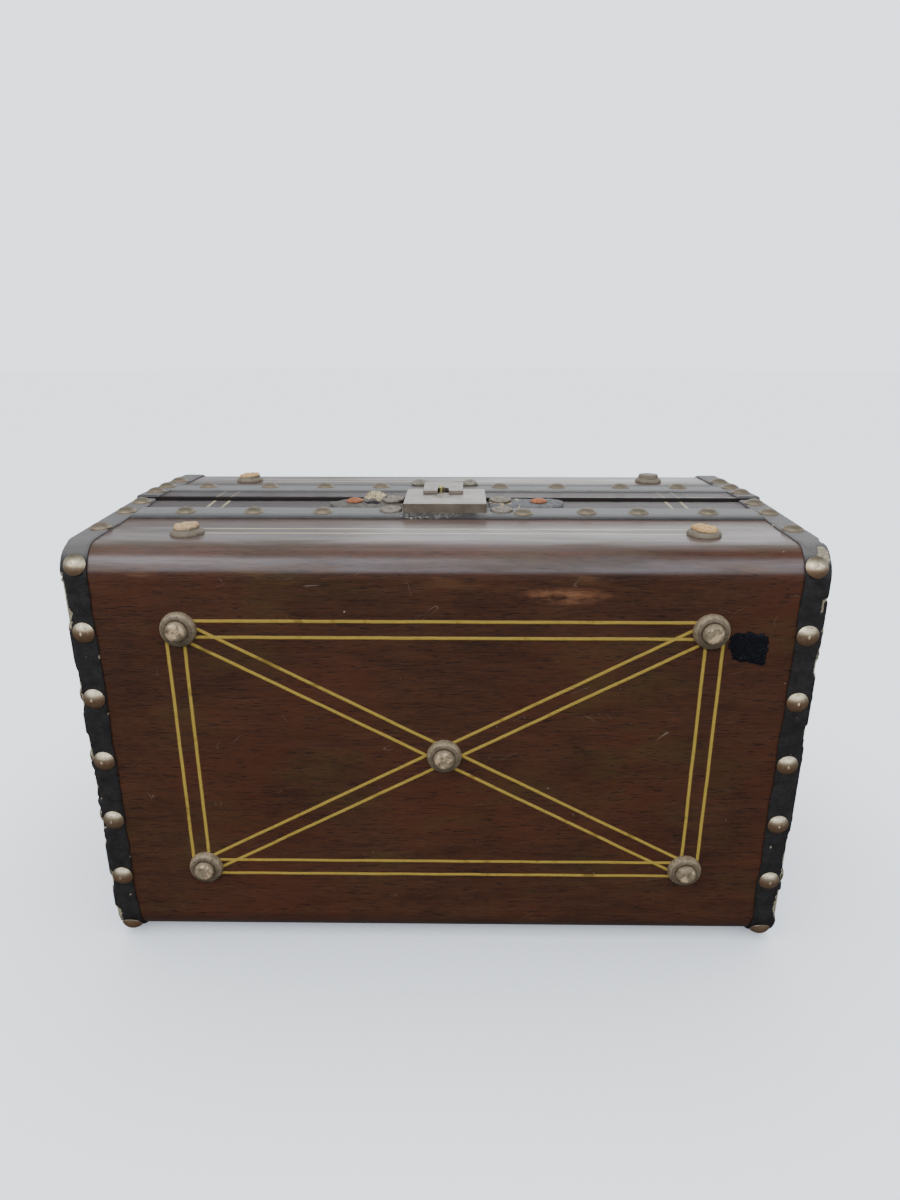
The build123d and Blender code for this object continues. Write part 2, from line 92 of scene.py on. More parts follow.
SHELL_HIGH = low_high("front_shell")[1]
HALF_WOOD = SHELL_HIGH[0]
WOOD_BASE = low_high("front_shell")[0][2]
SEAM, HALF_DEPTH = near_far("front_shell")
HALF_WIDTH = low_high("front_right_binding")[1][0]
LEATHER = HALF_WIDTH - HALF_WOOD
BINDING = HALF_WIDTH - low_high("front_right_binding")[0][0]
STRAP_NEAR, STRAP_FAR = near_far("front_top_strap")
CORNER = 15 * MM
PIN_RADIUS = 1 * MM
HINGE_AXIS = low_high("left_hinge_pin")[0][2] + PIN_RADIUS
RELIEF = 0.6 * MM
RELIEF_SLOPE = math.tan(math.radians(55))


def seam_top(side):
    """Height of a half's top board at the seam."""
    return low_high(("front" if side == FRONT else "rear") + "_shell")[1][2]


def top_slope(side):
    """Fall of the top board for each unit away from the seam."""
    strap_low = low_high(("front" if side == FRONT else "rear") + "_top_strap")[0][2]
    return (seam_top(side) - strap_low) / (STRAP_FAR - SEAM)


SLOPE = {side: top_slope(side) for side in SIDES.values()}
SEAM_TOP = {side: seam_top(side) for side in SIDES.values()}


def top_z(side, y):
    """Height of the top board's outer face at a distance y from the seam."""
    return SEAM_TOP[side] - SLOPE[side] * (np.abs(y) - SEAM)


def top_normal(side):
    """Unit normal of the top board."""
    turn = math.atan(SLOPE[side])
    return np.array((0, side * math.sin(turn), math.cos(turn)))


# Soft random fields

LATTICE = 128


def smooth_step(low, high, value):
    """0 below low, 1 above high, and a cubic ease between them."""
    t = np.clip((value - low) / (high - low), 0, 1)
    return t * t * (3 - 2 * t)


def field(u, v, size, seed, octaves=3):
    """Smooth noise in about -1 to 1: seeded values on a square lattice of the given size, eased between
    its corners, with finer lattices of half the size and strength added."""
    total, strength = np.zeros(np.broadcast(u, v).shape), 1.0
    for octave in range(octaves):
        lattice = np.random.default_rng(seed + octave).uniform(-1, 1, (LATTICE, LATTICE))
        a, b = np.broadcast_arrays(u / size, v / size)
        i, j = np.floor(a).astype(int), np.floor(b).astype(int)
        s, t = a - i, b - j
        s, t = s * s * (3 - 2 * s), t * t * (3 - 2 * t)
        corner = lambda di, dj: lattice[(i + di) % LATTICE, (j + dj) % LATTICE]
        near = corner(0, 0) * (1 - s) + corner(1, 0) * s
        far = corner(0, 1) * (1 - s) + corner(1, 1) * s
        total += strength * (near * (1 - t) + far * t)
        size, strength = size / 2, strength / 2
    return total


def spots(u, v, places):
    """Soft round marks: the largest of exp(-distance squared) over (u, v, reach in u, reach in v)."""
    marks = [np.exp(-(((u - a) / ra) ** 2) - ((v - b) / rb) ** 2) for a, b, ra, rb in places]
    return np.max(marks, axis=0) if marks else np.zeros(np.broadcast(u, v).shape)


# Meshes from grids


def mesh_object(name, points, faces, marks, sharp=40):
    """One object from points, faces and named numbers on the points, smooth but for its sharp edges."""
    mesh = bpy.data.meshes.new(name)
    mesh.from_pydata(points.tolist(), [], faces)
    for mark, values in marks.items():
        layer = mesh.attributes.new(mark, "FLOAT", "POINT")
        layer.data.foreach_set("value", np.asarray(values, dtype=np.float32))
    mesh.validate()
    mesh.shade_smooth()
    mesh.set_sharp_from_angle(angle=math.radians(sharp))
    made = bpy.data.objects.new(name, mesh)
    bpy.context.scene.collection.objects.link(made)
    return made


def quads(index):
    """Faces between the neighbouring rows and columns of a grid of point numbers."""
    corners = (index[:-1, :-1], index[:-1, 1:], index[1:, 1:], index[1:, :-1])
    return np.stack(corners, axis=-1).reshape(-1, 4)


def closed_sheet(inner, outer):
    """A closed solid between two grids of points: both grids as skins, the inner one turned over, and a
    wall of faces round the border. The faces are flipped as one if the outer skin looks inwards."""
    rows, cols = outer.shape[:2]
    top = np.arange(rows * cols).reshape(rows, cols)
    under = top + rows * cols
    rim = np.concatenate((top[0, :-1], top[:-1, -1], top[-1, :0:-1], top[:0:-1, 0]))
    low_rim = rim + rows * cols
    wall = np.stack((np.roll(rim, -1), rim, low_rim, np.roll(low_rim, -1)), axis=-1)
    faces = np.concatenate((quads(top), quads(under)[:, ::-1], wall))
    i, j = rows // 2, cols // 2
    across = np.cross(outer[i, j + 1] - outer[i, j], outer[i + 1, j] - outer[i, j])
    if np.dot(across, outer[i, j] - inner[i, j]) < 0:
        faces = faces[:, ::-1]
    points = np.concatenate((outer.reshape(-1, 3), inner.reshape(-1, 3)))
    return points, faces.tolist()


def sheet_object(name, inner, outer, **marks):
    """A closed sheet as an object, with its marks given on the outer grid and repeated on the inner."""
    points, faces = closed_sheet(inner, outer)
    doubled = {mark: np.tile(np.broadcast_to(m, outer.shape[:2]).ravel(), 2) for mark, m in marks.items()}
    return mesh_object(name, points, faces, doubled)


def turned_grid(radius, height, place, count):
    """A turned skin: radius and height, both on a grid of profile rows and angle columns, swept round the
    axis of a place (foot, axis, side direction). The first and last rows close on poles."""
    foot, axis, aside = (np.asarray(v, float) for v in place)
    across = np.cross(axis, aside)
    angle = np.arange(count) * 2 * math.pi / count
    ring = np.cos(angle)[:, None] * aside + np.sin(angle)[:, None] * across
    points = foot + radius[..., None] * ring + height[..., None] * axis
    rows = points.shape[0]
    index = np.arange(rows * count).reshape(rows, count)
    index = np.concatenate((index, index[:, :1]), axis=1)
    sides = quads(index)[:, ::-1].tolist()
    low, high = rows * count, rows * count + 1
    first, last = index[0], index[-1]
    caps = np.stack((first[1:], first[:-1], np.full(count, low)), axis=-1).tolist()
    caps += np.stack((last[:-1], last[1:], np.full(count, high)), axis=-1).tolist()
    poles = np.array((foot + height[0].mean() * axis, foot + height[-1].mean() * axis))
    return np.concatenate((points.reshape(-1, 3), poles)), sides + caps


def joined(parts):
    """Several (points, faces) as one, with the point numbers moved on."""
    points, faces, start = [], [], 0
    for some_points, some_faces in parts:
        points.append(some_points)
        faces += [[start + k for k in face] for face in some_faces]
        start += len(some_points)
    return np.concatenate(points), faces


def on_top(side, x, y, lift=0.0):
    """A place on the top board: its foot, its normal and the direction along the case."""
    normal = top_normal(side)
    foot = np.array((x, side * y, top_z(side, y))) + lift * normal
    return foot, normal, np.array((1.0, 0, 0))


# Materials


class Value:
    """A socket of a material that takes part in arithmetic, one Math node for each operation."""

    def __init__(self, graph, socket):
        self.graph, self.socket = graph, socket

    def math(self, operation, *others):
        return self.graph.math(operation, self, *others)

    def __add__(self, other):
        return self.math("ADD", other)

    __radd__ = __add__

    def __mul__(self, other):
        return self.math("MULTIPLY", other)

    __rmul__ = __mul__

    def __sub__(self, other):
        return self.math("SUBTRACT", other)

    def __rsub__(self, other):
        return self.graph.math("SUBTRACT", other, self)

    def __truediv__(self, other):
        return self.math("DIVIDE", other)

    def __abs__(self):
        return self.math("ABSOLUTE")

    def least(self, other):
        return self.math("MINIMUM", other)

    def most(self, other):
        return self.math("MAXIMUM", other)

    def above(self, low, high):
        """0 below low and 1 above high, with an even rise between them; high may be the lower one."""
        sockets = {"Value": self, "From Min": low, "From Max": high}
        return self.graph.node("ShaderNodeMapRange", {"clamp": True}, sockets)

    def within(self, half, soft):
        """1 where the absolute value is below half, falling to 0 over soft."""
        return abs(self).above(half + soft / 2, half - soft / 2)


class Nodes:
    """The nodes of a material or of the surroundings."""

    def __init__(self, owner):
        owner.use_nodes = True
        self.tree = owner.node_tree

    def node(self, kind, settings=None, sockets=None, out=0):
        """Any node: its settings first, then its socket values or links."""
        made = self.tree.nodes.new(kind)
        for name, value in (settings or {}).items():
            setattr(made, name, value)
        for name, value in (sockets or {}).items():
            self.feed(made.inputs[name], value)
        return Value(self, made.outputs[out])

    def feed(self, socket, value):
        if isinstance(value, Value):
            self.tree.links.new(value.socket, socket)
        else:
            socket.default_value = value

    def math(self, operation, *values):
        return self.node("ShaderNodeMath", {"operation": operation}, dict(enumerate(values)))

    def parts(self, vector):
        split = self.tree.nodes.new("ShaderNodeSeparateXYZ")
        self.feed(split.inputs[0], vector)
        return [Value(self, split.outputs[i]) for i in range(3)]

    def scaled(self, vector, scale, location=(0, 0, 0)):
        sockets = {"Vector": vector, "Scale": scale, "Location": location}
        return self.node("ShaderNodeMapping", {}, sockets)

    def mix(self, factor, a, b):
        """A colour between a and b; plain tuples are colours."""
        made = self.tree.nodes.new("ShaderNodeMix")
        made.data_type = "RGBA"
        self.feed(made.inputs[0], factor)
        for slot, colour in ((6, a), (7, b)):
            self.feed(made.inputs[slot], colour if isinstance(colour, Value) else (*colour, 1.0))
        return Value(self, made.outputs[2])


class Finish(Nodes):
    """A material, in millimetres of the object's own coordinates, with the parts of its normal."""

    def __init__(self, name):
        self.material = bpy.data.materials.new(name)
        super().__init__(self.material)
        self.shader = self.tree.nodes["Principled BSDF"]
        self.place = self.scaled(self.node("ShaderNodeTexCoord", out="Object"), (1 / MM,) * 3)
        self.x, self.y, self.z = self.parts(self.place)
        self.nx, self.ny, self.nz = self.parts(self.node("ShaderNodeTexCoord", out="Normal"))

    def noise(self, size, stretch=(1, 1, 1), detail=3.0, rough=0.5, shift=0.0, twist=0.0, turn=(0, 0, 0)):
        """Noise in 0 to 1 with grains of a size in mm, drawn out by stretch along each axis once turned."""
        place = self.place
        if any(turn):
            place = self.node("ShaderNodeMapping", {}, {"Vector": place, "Rotation": turn})
        scale = tuple(1 / (size * s) for s in stretch)
        vector = self.scaled(place, scale, (shift, shift / 2, shift / 3))
        sockets = {"Vector": vector, "Scale": 1.0, "Detail": detail, "Roughness": rough, "Distortion": twist}
        return self.node("ShaderNodeTexNoise", {}, sockets)

    def cells(self, size, shift=0.0, out=0):
        """Voronoi cells of a size in mm: the distance, or with out=1 the cell's random colour."""
        vector = self.scaled(self.place, (1 / size,) * 3, (shift, shift, shift))
        return self.node("ShaderNodeTexVoronoi", {}, {"Vector": vector, "Scale": 1.0}, out)

    def mark(self, name):
        """The piece's own number of that name on its points."""
        return self.node("ShaderNodeAttribute", {"attribute_name": name}, {}, "Fac")

    def scratches(self, size, width, density, shift, turn):
        """Fine hairlines: the thin middle band of a noise drawn out along a turned axis, in a few places."""
        wave = self.noise(size, (7, 1, 1), detail=0.0, shift=shift, twist=0.25, turn=turn)
        line = (wave - 0.5).within(width, width)
        return line * self.noise(size * 1.4, detail=1.0, shift=shift + 7).above(density, density + 0.05)

    def specks(self, size, radius, share, shift=0.0):
        """Small round dots, one in a share of the cells."""
        chosen = self.parts(self.cells(size, shift=shift, out=1))[0].above(1 - share, 1 - share + 0.01)
        return self.cells(size, shift=shift).above(radius / size, radius / size * 0.6) * chosen

    def oval(self, a, a_square, b, b_square):
        """Squared distance from the middle of an oval, with the squares of its half axes."""
        return a * a / a_square + b * b / b_square

    def bump(self, height, depth, strength=1.0):
        """A normal from a height in 0 to 1 that stands for a depth in metres."""
        return self.node("ShaderNodeBump", {}, {"Height": height, "Distance": depth, "Strength": strength})

    def finish(self, colour, roughness, metallic=0.0, normal=None, **fixed):
        """Feeds the shader and returns the material; fixed ones are numbers on the shader's own sockets."""
        self.feed(self.shader.inputs["Base Color"], colour if isinstance(colour, Value) else (*colour, 1.0))
        self.feed(self.shader.inputs["Roughness"], roughness)
        self.feed(self.shader.inputs["Metallic"], metallic)
        if normal is not None:
            self.feed(self.shader.inputs["Normal"], normal)
        for name, value in fixed.items():
            self.shader.inputs[name.replace("_", " ")].default_value = value
        return self.material


def give(node, material):
    """Puts a material on every slot of a CAD node's object."""
    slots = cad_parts[node].material_slots
    if not slots:
        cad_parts[node].data.materials.append(material)
    for slot in slots:
        slot.material = material


def dress(piece, material, body, slot, *replaced):
    """Gives a finished piece its material and its body, and hides the nodes it stands for. The slot is not
    used.
    """
    piece.data.materials.append(material)
    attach(piece, body)
    if replaced:
        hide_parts(*replaced)
    return piece


# Settings


class CaseBoards(bpy.types.PropertyGroup):
    """Stained boards with painted lines."""

    dark: bpy.props.FloatVectorProperty(
        name="Dark stain", description="Stain in the dark streaks",
        subtype="COLOR", default=(0.025, 0.0098, 0.0052)
    )
    warm: bpy.props.FloatVectorProperty(
        name="Warm stain", description="Stain in the light streaks",
        subtype="COLOR", default=(0.098, 0.037, 0.0175)
    )
    gold: bpy.props.FloatVectorProperty(
        name="Line colour", description="Ochre of the painted lines",
        subtype="COLOR", default=(0.46, 0.31, 0.055)
    )
    line_width: bpy.props.FloatProperty(
        name="Line width", description="Width of a painted line", unit="LENGTH", default=1.5 * MM
    )
    line_gap: bpy.props.FloatProperty(
        name="Line spacing", description="Distance between the two lines of a pair",
        unit="LENGTH", default=8.2 * MM
    )


class CaseLeather(bpy.types.PropertyGroup):
    """Bindings, straps and tabs."""

    black: bpy.props.FloatVectorProperty(
        name="Leather", description="Face of the black leather",
        subtype="COLOR", default=(0.0105, 0.0090, 0.0088)
    )
    core: bpy.props.FloatVectorProperty(
        name="Torn core", description="Card under the torn leather",
        subtype="COLOR", default=(0.42, 0.36, 0.25)
    )
    wave: bpy.props.FloatProperty(
        name="Edge waviness", description="How far the cut edges wander", unit="LENGTH", default=0.45 * MM
    )


class CaseMetal(bpy.types.PropertyGroup):
    """Nails, rivets, lock and hinges."""

    nickel: bpy.props.FloatVectorProperty(
        name="Nail face", description="Worn plating of the nails",
        subtype="COLOR", default=(0.56, 0.48, 0.33)
    )
    # Colour of the painted reflection of the warm table on the lower halves of the nails
    warm_reflection: bpy.props.FloatVectorProperty(
        name="Nail shade", description="Warm metal under the plating",
        subtype="COLOR", default=(0.44, 0.25, 0.14)
    )
    steel: bpy.props.FloatVectorProperty(
        name="Lock steel", description="Plated steel of the lock",
        subtype="COLOR", default=(0.42, 0.38, 0.34)
    )


class CaseStage(bpy.types.PropertyGroup):
    """Camera, lights and floor."""

    eye: bpy.props.FloatVectorProperty(
        name="Camera", description="Place of the camera", subtype="TRANSLATION", unit="LENGTH",
        default=(0.0070, -0.4428, 0.3136)
    )
    turn: bpy.props.FloatProperty(
        name="Turn", description="Turn of the camera to the left",
        subtype="ANGLE", default=math.radians(0.687)
    )
    tilt: bpy.props.FloatProperty(
        name="Tilt", description="Fall of the line of sight",
        subtype="ANGLE", default=math.radians(19.11)
    )
    lens: bpy.props.FloatProperty(
        name="Lens", description="Focal length", subtype="DISTANCE_CAMERA", default=23.88
    )
    floor: bpy.props.FloatVectorProperty(
        name="Floor", description="Colour of the floor", subtype="COLOR", default=(0.74, 0.74, 0.74)
    )
    floor_body: bpy.props.FloatProperty(
        name="Floor body", description="How solid the floor looks, from clear to full",
        subtype="FACTOR", default=0.08
    )
    shadow_reach: bpy.props.FloatProperty(
        name="Shadow reach", description="How far the soft contact shadow spreads",
        unit="LENGTH", default=0.16
    )
    sky: bpy.props.FloatVectorProperty(
        name="Surroundings", description="Colour of the soft surroundings",
        subtype="COLOR", default=(0.79, 0.85, 0.92)
    )
    sky_strength: bpy.props.FloatProperty(
        name="Surroundings seen", description="Brightness of the surroundings to the eye", default=2.5
    )
    low_light: bpy.props.FloatProperty(
        name="Light all round", description="Strength of the surroundings where nothing is bright",
        default=0.24
    )
    front_light: bpy.props.FloatProperty(
        name="Light in front", description="Strength of the open sky in front of the case", default=2.6
    )
    back_light: bpy.props.FloatProperty(
        name="Light behind", description="Strength of the pale wall behind the case", default=0.75
    )


# Boards

BOSS_TOP = {side: low_high(name + "_boss_top_right") for name, side in SIDES.items()}
BOSS_HIGH = low_high("front_boss_high_right")
BOSS_LOW = low_high("front_boss_low_right")

# Places on the boards, in millimetres
LINE_SHIFT = 5.0
LINE_OUTSET = 2.2
SHADED_TOP = 57
RUBBED_X, RUBBED_Z = 56, 195.5
SHOULDER_Z = 204.5
SHOULDER_HALF = 9
SEAM_SHADE_REACH = 6.0


def middle(corners):
    """Centre of a box in millimetres."""
    return (corners[0] + corners[1]) / 2 / MM


def painted_lines(g, look):
    """Where the painted pairs of lines run: level and upright between the corner bosses and crossed
    through the middle one on the faces, and along and across the top between its bosses."""
    half = look.line_gap / MM / 2
    width = look.line_width / MM / 2
    wobble = (g.noise(22, detail=2, shift=3) - 0.5) * 0.5
    across, _, high = middle(BOSS_HIGH)
    low = middle(BOSS_LOW)[2]
    mid, rise = (high + low) / 2, (high - low) / 2
    x, z = abs(g.x), g.z - mid

    def pair(distance, reach, limit):
        line = (abs(distance) - half + wobble).within(width, 0.5)
        return line * (limit - abs(reach)).above(0, 0.5)

    level = pair(abs(z) - rise, x, across)
    upright = pair(x - across - LINE_OUTSET, z, rise)
    length = math.hypot(across, rise)
    crossed = pair((x * rise - abs(z) * across) / length, x, across)
    face = level.most(upright).most(crossed) * abs(g.ny).above(0.8, 0.9)

    top_x, top_y, _ = middle(BOSS_TOP[FRONT])
    along = pair(abs(g.y) + top_y + LINE_SHIFT, x, top_x)
    over = pair(x - top_x - LINE_OUTSET, g.y, STRAP_NEAR / MM)
    top = along.most(over) * g.nz.above(0.8, 0.9)
    worn = g.noise(9, detail=4, shift=11).above(0.30, 0.42)
    return face * (0.45 + 0.55 * worn), top * (0.30 + 0.45 * worn)


def stained_board(look, name, along="X", lines=False):
    """Dark stained board: long fine streaks over soft clouds, pores, hairline scratches, dust and worn
    places, with painted lines on the faces. Painted light too: a pale sheen mixed with haze on the top,
    a painted reflection of the sky round the rounded top edge and near-black painted shade along the seam."""
    g = Finish(name)
    drawn = lambda far: (far, 1, 1) if along == "X" else (1, 1, far)
    from_seam = abs(g.y) - SEAM / MM
    on_top = g.nz.above(0.8, 0.9)
    streak = g.noise(1.2, drawn(24), detail=5, rough=0.65)
    fine = g.noise(0.55, drawn(9), detail=3, rough=0.6, shift=5)
    cloud = g.noise(36, (1.7, 1, 1), detail=4, rough=0.6, shift=9)
    band = g.noise(5, drawn(6), detail=4, rough=0.6, shift=2)
    tone = streak * 0.48 + fine * 0.42 + cloud * 0.32 + band * 0.36 - 0.29
    colour = g.mix(tone.above(0.28, 0.74), look.dark, look.warm)
    reddish = g.noise(60, detail=2, shift=21).above(0.42, 0.66)
    colour = g.mix(reddish * 0.5, colour, (0.092, 0.026, 0.012))
    olive = g.noise(26, (2, 1, 1), detail=4, rough=0.6, shift=33).above(0.52, 0.70)
    colour = g.mix(olive * 0.5, colour, (0.068, 0.044, 0.014))
    pores = g.noise(0.6, drawn(10), detail=2, shift=41).above(0.57, 0.66)
    colour = g.mix(pores * 0.6, colour, (0.010, 0.005, 0.003))
    # Pale haze on the top board: partly dusty worn varnish, partly painted sheen of the bright sky; weaker
    # towards the seam
    lit_unworn_top = (abs(g.y) - SHADED_TOP).above(-12, 6)
    top_haze_and_sheen = g.nz.above(0.80, 0.97) * (0.35 + 0.65 * lit_unworn_top)
    veil = g.noise(7, drawn(9), detail=4, rough=0.6, shift=121).above(0.40, 0.60)
    colour = g.mix(top_haze_and_sheen * 0.55, colour, g.mix(veil, (0.110, 0.090, 0.066), (0.200, 0.160, 0.150)))
    strip = g.nz.above(0.90, 0.97) * (abs(g.y) - STRAP_NEAR / MM).above(1, -1)
    colour = g.mix(strip * 0.6, colour, (0.066, 0.064, 0.066))
    # Painted reflection of the pale sky: a grey band round the rounded top edge
    painted_edge_reflection = g.nz.above(0.18, 0.32) * g.nz.above(0.74, 0.60)
    colour = g.mix(painted_edge_reflection * 0.4, colour, g.mix(veil, (0.105, 0.090, 0.078), (0.195, 0.165, 0.178)))
    scuffed = g.noise(6, (4, 1, 1), detail=5, rough=0.7, shift=51)
    spread = g.oval(g.x - RUBBED_X, 330, g.z - RUBBED_Z, 14).above(1.6, 0.0)
    rubbed = spread * (g.y + 90).above(0, -1) * scuffed.above(0.42, 0.56)
    colour = g.mix(rubbed * 0.8, colour, (0.30, 0.130, 0.062))
    thin = g.noise(9, (7, 1, 1), detail=5, rough=0.65, shift=61).above(0.54, 0.66)
    shoulder = abs(g.z - SHOULDER_Z).above(SHOULDER_HALF, 1) * thin
    colour = g.mix(shoulder * 0.55, colour, (0.17, 0.080, 0.032))
    scratch = g.scratches(9, 0.0014, 0.67, 71, (0, 0.5, 0.3))
    scratch = scratch.most(g.scratches(6, 0.0016, 0.69, 81, (0.2, -0.9, 0)))
    scratch = scratch.most(g.scratches(11, 0.0012, 0.63, 95, (0, 0.06, 0.05)))
    colour = g.mix(scratch * 0.32, colour, (0.36, 0.31, 0.25))
    dust = g.specks(6.5, 0.30, 0.07, 3).most(g.specks(23, 0.55, 0.20, 5))
    colour = g.mix(dust * 0.75, colour, (0.50, 0.47, 0.42))
    ragged = g.noise(7, detail=4, rough=0.6, shift=105)
    # Near-black painted shade along the seam gap, with some dirt in its ragged edge; cut carries this shade
    # together with the seam edge itself
    reach = ragged * SEAM_SHADE_REACH - 2.4 + g.y.above(-1, 1) * g.x.above(-45, -60) * 2.2
    seam_shade_and_dirt = (from_seam - reach).above(0.5, -0.3) * on_top
    torn_bits = ragged.above(0.50, 0.56) * (g.y - SEAM / MM - 1.6).within(1.0, 0.8) * g.x.above(20, 26)
    cut = from_seam.above(0.4, 0.1).most(seam_shade_and_dirt)
    colour = g.mix(cut * 0.9, colour, (0.012, 0.009, 0.008))
    colour = g.mix(torn_bits * on_top * 0.7, colour, (0.33, 0.30, 0.22))
    gloss = 0.33 + 0.14 * cloud + 0.16 * streak + 0.2 * cut
    height = streak * 0.5 + fine * 0.4 - pores * 0.6 - scratch * 0.6
    if lines:
        face, top = painted_lines(g, look)
        paint = g.noise(1.6, detail=3, shift=91)
        ochre = g.mix(paint, tuple(0.72 * c for c in look.gold), tuple(1.15 * c for c in look.gold))
        colour = g.mix(face, colour, ochre)
        top = top * (1 - 0.7 * g.y.above(0, 1) * (g.y - STRAP_NEAR / MM).above(1, -1))
        colour = g.mix(top, colour, (0.50, 0.42, 0.24))
        height = height + face.most(top) * 1.4
        gloss = gloss + face * 0.10
    normal = g.bump(height, 0.00018, 0.6)
    rubbed_off = g.nz.above(0.90, 0.97) * (1 - lit_unworn_top)
    g.feed(g.shader.inputs["Coat Weight"], (0.38 + 0.25 * band + 0.25 * veil) * (1 - 0.85 * rubbed_off))
    return g.finish(colour, gloss, normal=normal, Specular_IOR_Level=0.2, Coat_Roughness=0.2)


class CASE_OT_boards(bpy.types.Operator):
    """Stains the bent boards and the end boards, and paints the lines."""

    bl_idname = "case.boards"
    bl_label = "Boards"

    def execute(self, context):
        look = context.scene.case_boards
        shell = stained_board(look, "stained_board_lined", lines=True)
        end = stained_board(look, "stained_end_board", along="Z")
        for name in SIDES:
            give(name + "_shell", shell)
            for end_name in ENDS:
                give(f"{name}_{end_name}_end", end)
        return {"FINISHED"}


# Inside

STRIPE_STEP = 11


def lining_paper():
    """Buff cloth paper printed with narrow brown stripes, foxed and dusty."""
    g = Finish("lining_paper")
    upright = abs(g.nx).above(0.6, 0.4)
    run = g.x * upright + g.y * (1 - upright)
    beat = (run / STRIPE_STEP).math("FRACT") - 0.5
    wide = beat.within(0.10, 0.03)
    narrow = (abs(beat) - 0.2).within(0.018, 0.02)
    weave = g.noise(0.45, detail=1)
    colour = g.mix(weave, (0.50, 0.38, 0.23), (0.62, 0.50, 0.33))
    colour = g.mix(wide * 0.55, colour, (0.26, 0.10, 0.06))
    colour = g.mix(narrow * 0.7, colour, (0.10, 0.13, 0.10))
    foxed = g.noise(26, detail=5, rough=0.65, shift=4).above(0.52, 0.72)
    colour = g.mix(foxed * 0.45, colour, (0.24, 0.14, 0.07))
    stain = g.specks(13, 1.6, 0.2, 6)
    colour = g.mix(stain * 0.35, colour, (0.20, 0.10, 0.05))
    normal = g.bump(weave + foxed * 0.5, 0.0001, 0.5)
    return g.finish(colour, 0.86, normal=normal)


def plain_wood():
    """Plain oiled beech with fine flecks."""
    g = Finish("inner_wood")
    streak = g.noise(1.4, (18, 1, 1), detail=4)
    fleck = g.noise(0.6, (7, 1, 1), detail=1, shift=8).above(0.60, 0.68)
    colour = g.mix(streak, (0.27, 0.15, 0.07), (0.50, 0.32, 0.17))
    colour = g.mix(fleck * 0.5, colour, (0.20, 0.10, 0.05))
    colour = g.mix(g.noise(30, detail=4, shift=3).above(0.5, 0.8) * 0.4, colour, (0.16, 0.09, 0.05))
    return g.finish(colour, 0.55, normal=g.bump(streak - fleck * 0.4, 0.0001, 0.5))


class CASE_OT_inside(bpy.types.Operator):
    """Papers both halves inside and finishes the collar of the front half."""

    bl_idname = "case.inside"
    bl_label = "Lining and collar"

    def execute(self, context):
        paper = lining_paper()
        for name in SIDES:
            give(name + "_lining", paper)
        give("front_lip", plain_wood())
        return {"FINISHED"}


# Leather

# Places on the straps and bindings, in millimetres
SHADED_STRAP = 28
TOP_DUST_AND_SHEEN = (211, 215)
LOCK_SHADOW_X, LOCK_SHADOW_Y = -4, -38
LITTER_X, LITTER_Y = -12, -37


def black_leather(look, name, strap=False):
    """Old black leather: pebbled and creased, rubbed grey in places, pale on top with dust and painted
    sheen, with its pale core where torn; the straps have painted shade at their outer edges and a painted
    shadow in front of the lock, and are littered by the lock."""
    g = Finish(name)
    bare = g.mark("bare")
    rubbed = g.mark("rubbed")
    pebble = g.cells(1.1)
    crease = g.noise(5, detail=5, rough=0.65, shift=2)
    colour = g.mix(crease.above(0.35, 0.75), look.black, tuple(2.6 * c for c in look.black))
    grey = (rubbed + g.noise(14, detail=4, shift=7).above(0.56, 0.80) * 0.5).least(1)
    colour = g.mix(grey * 0.2, colour, (0.055, 0.050, 0.050))
    brown = g.noise(9, detail=4, shift=13).above(0.62, 0.75)
    colour = g.mix(brown * 0.35, colour, (0.060, 0.040, 0.026))
    dust = g.specks(3.2, 0.26, 0.10, 3)
    colour = g.mix(dust * 0.65, colour, (0.42, 0.40, 0.36))
    # Pale grey on upward faces and along the top edges: partly dust, partly painted sheen of the bright sky
    dust_and_sheen = g.nz.above(0.5, 0.97).most(g.z.above(*TOP_DUST_AND_SHEEN) * 0.8) * (0.50 + 0.40 * crease)
    if strap:
        # Painted shadow of the lock on the strap just in front of it, and painted shade (shade) towards the
        # strap's outer edge
        lock_shadow = (g.x - LOCK_SHADOW_X).within(20, 3) * (g.y - LOCK_SHADOW_Y).within(6, 2)
        shade = (abs(g.y) - SHADED_STRAP).above(12, 5)
        dust_and_sheen = dust_and_sheen * (0.30 + 0.70 * shade) * (1 - 0.8 * lock_shadow)
        near_lock = g.oval(g.x - LITTER_X, 420, g.y - LITTER_Y, 24).above(1.5, 0.6)
        litter = g.noise(1.3, detail=4, rough=0.65, shift=31).above(0.55, 0.61) * near_lock
        colour = g.mix(litter * 0.8, colour, (0.46, 0.42, 0.36))
    dust_and_sheen_colour = (0.255, 0.245, 0.235) if strap else (0.200, 0.185, 0.178)
    colour = g.mix(dust_and_sheen, colour, dust_and_sheen_colour)
    fibre = g.noise(1.0, detail=4, shift=5)
    core = g.mix(fibre.above(0.35, 0.70), tuple(0.45 * c for c in look.core), look.core)
    torn = (bare + (fibre - 0.5) * 0.5).above(0.42, 0.60)
    colour = g.mix(torn, colour, core)
    gloss = 0.50 + 0.18 * crease + 0.22 * torn
    height = pebble.above(0.1, 0.7) * -0.5 + crease * 0.8 + fibre * torn
    return g.finish(colour, gloss, normal=g.bump(height, 0.00022, 0.6), Specular_IOR_Level=0.34)


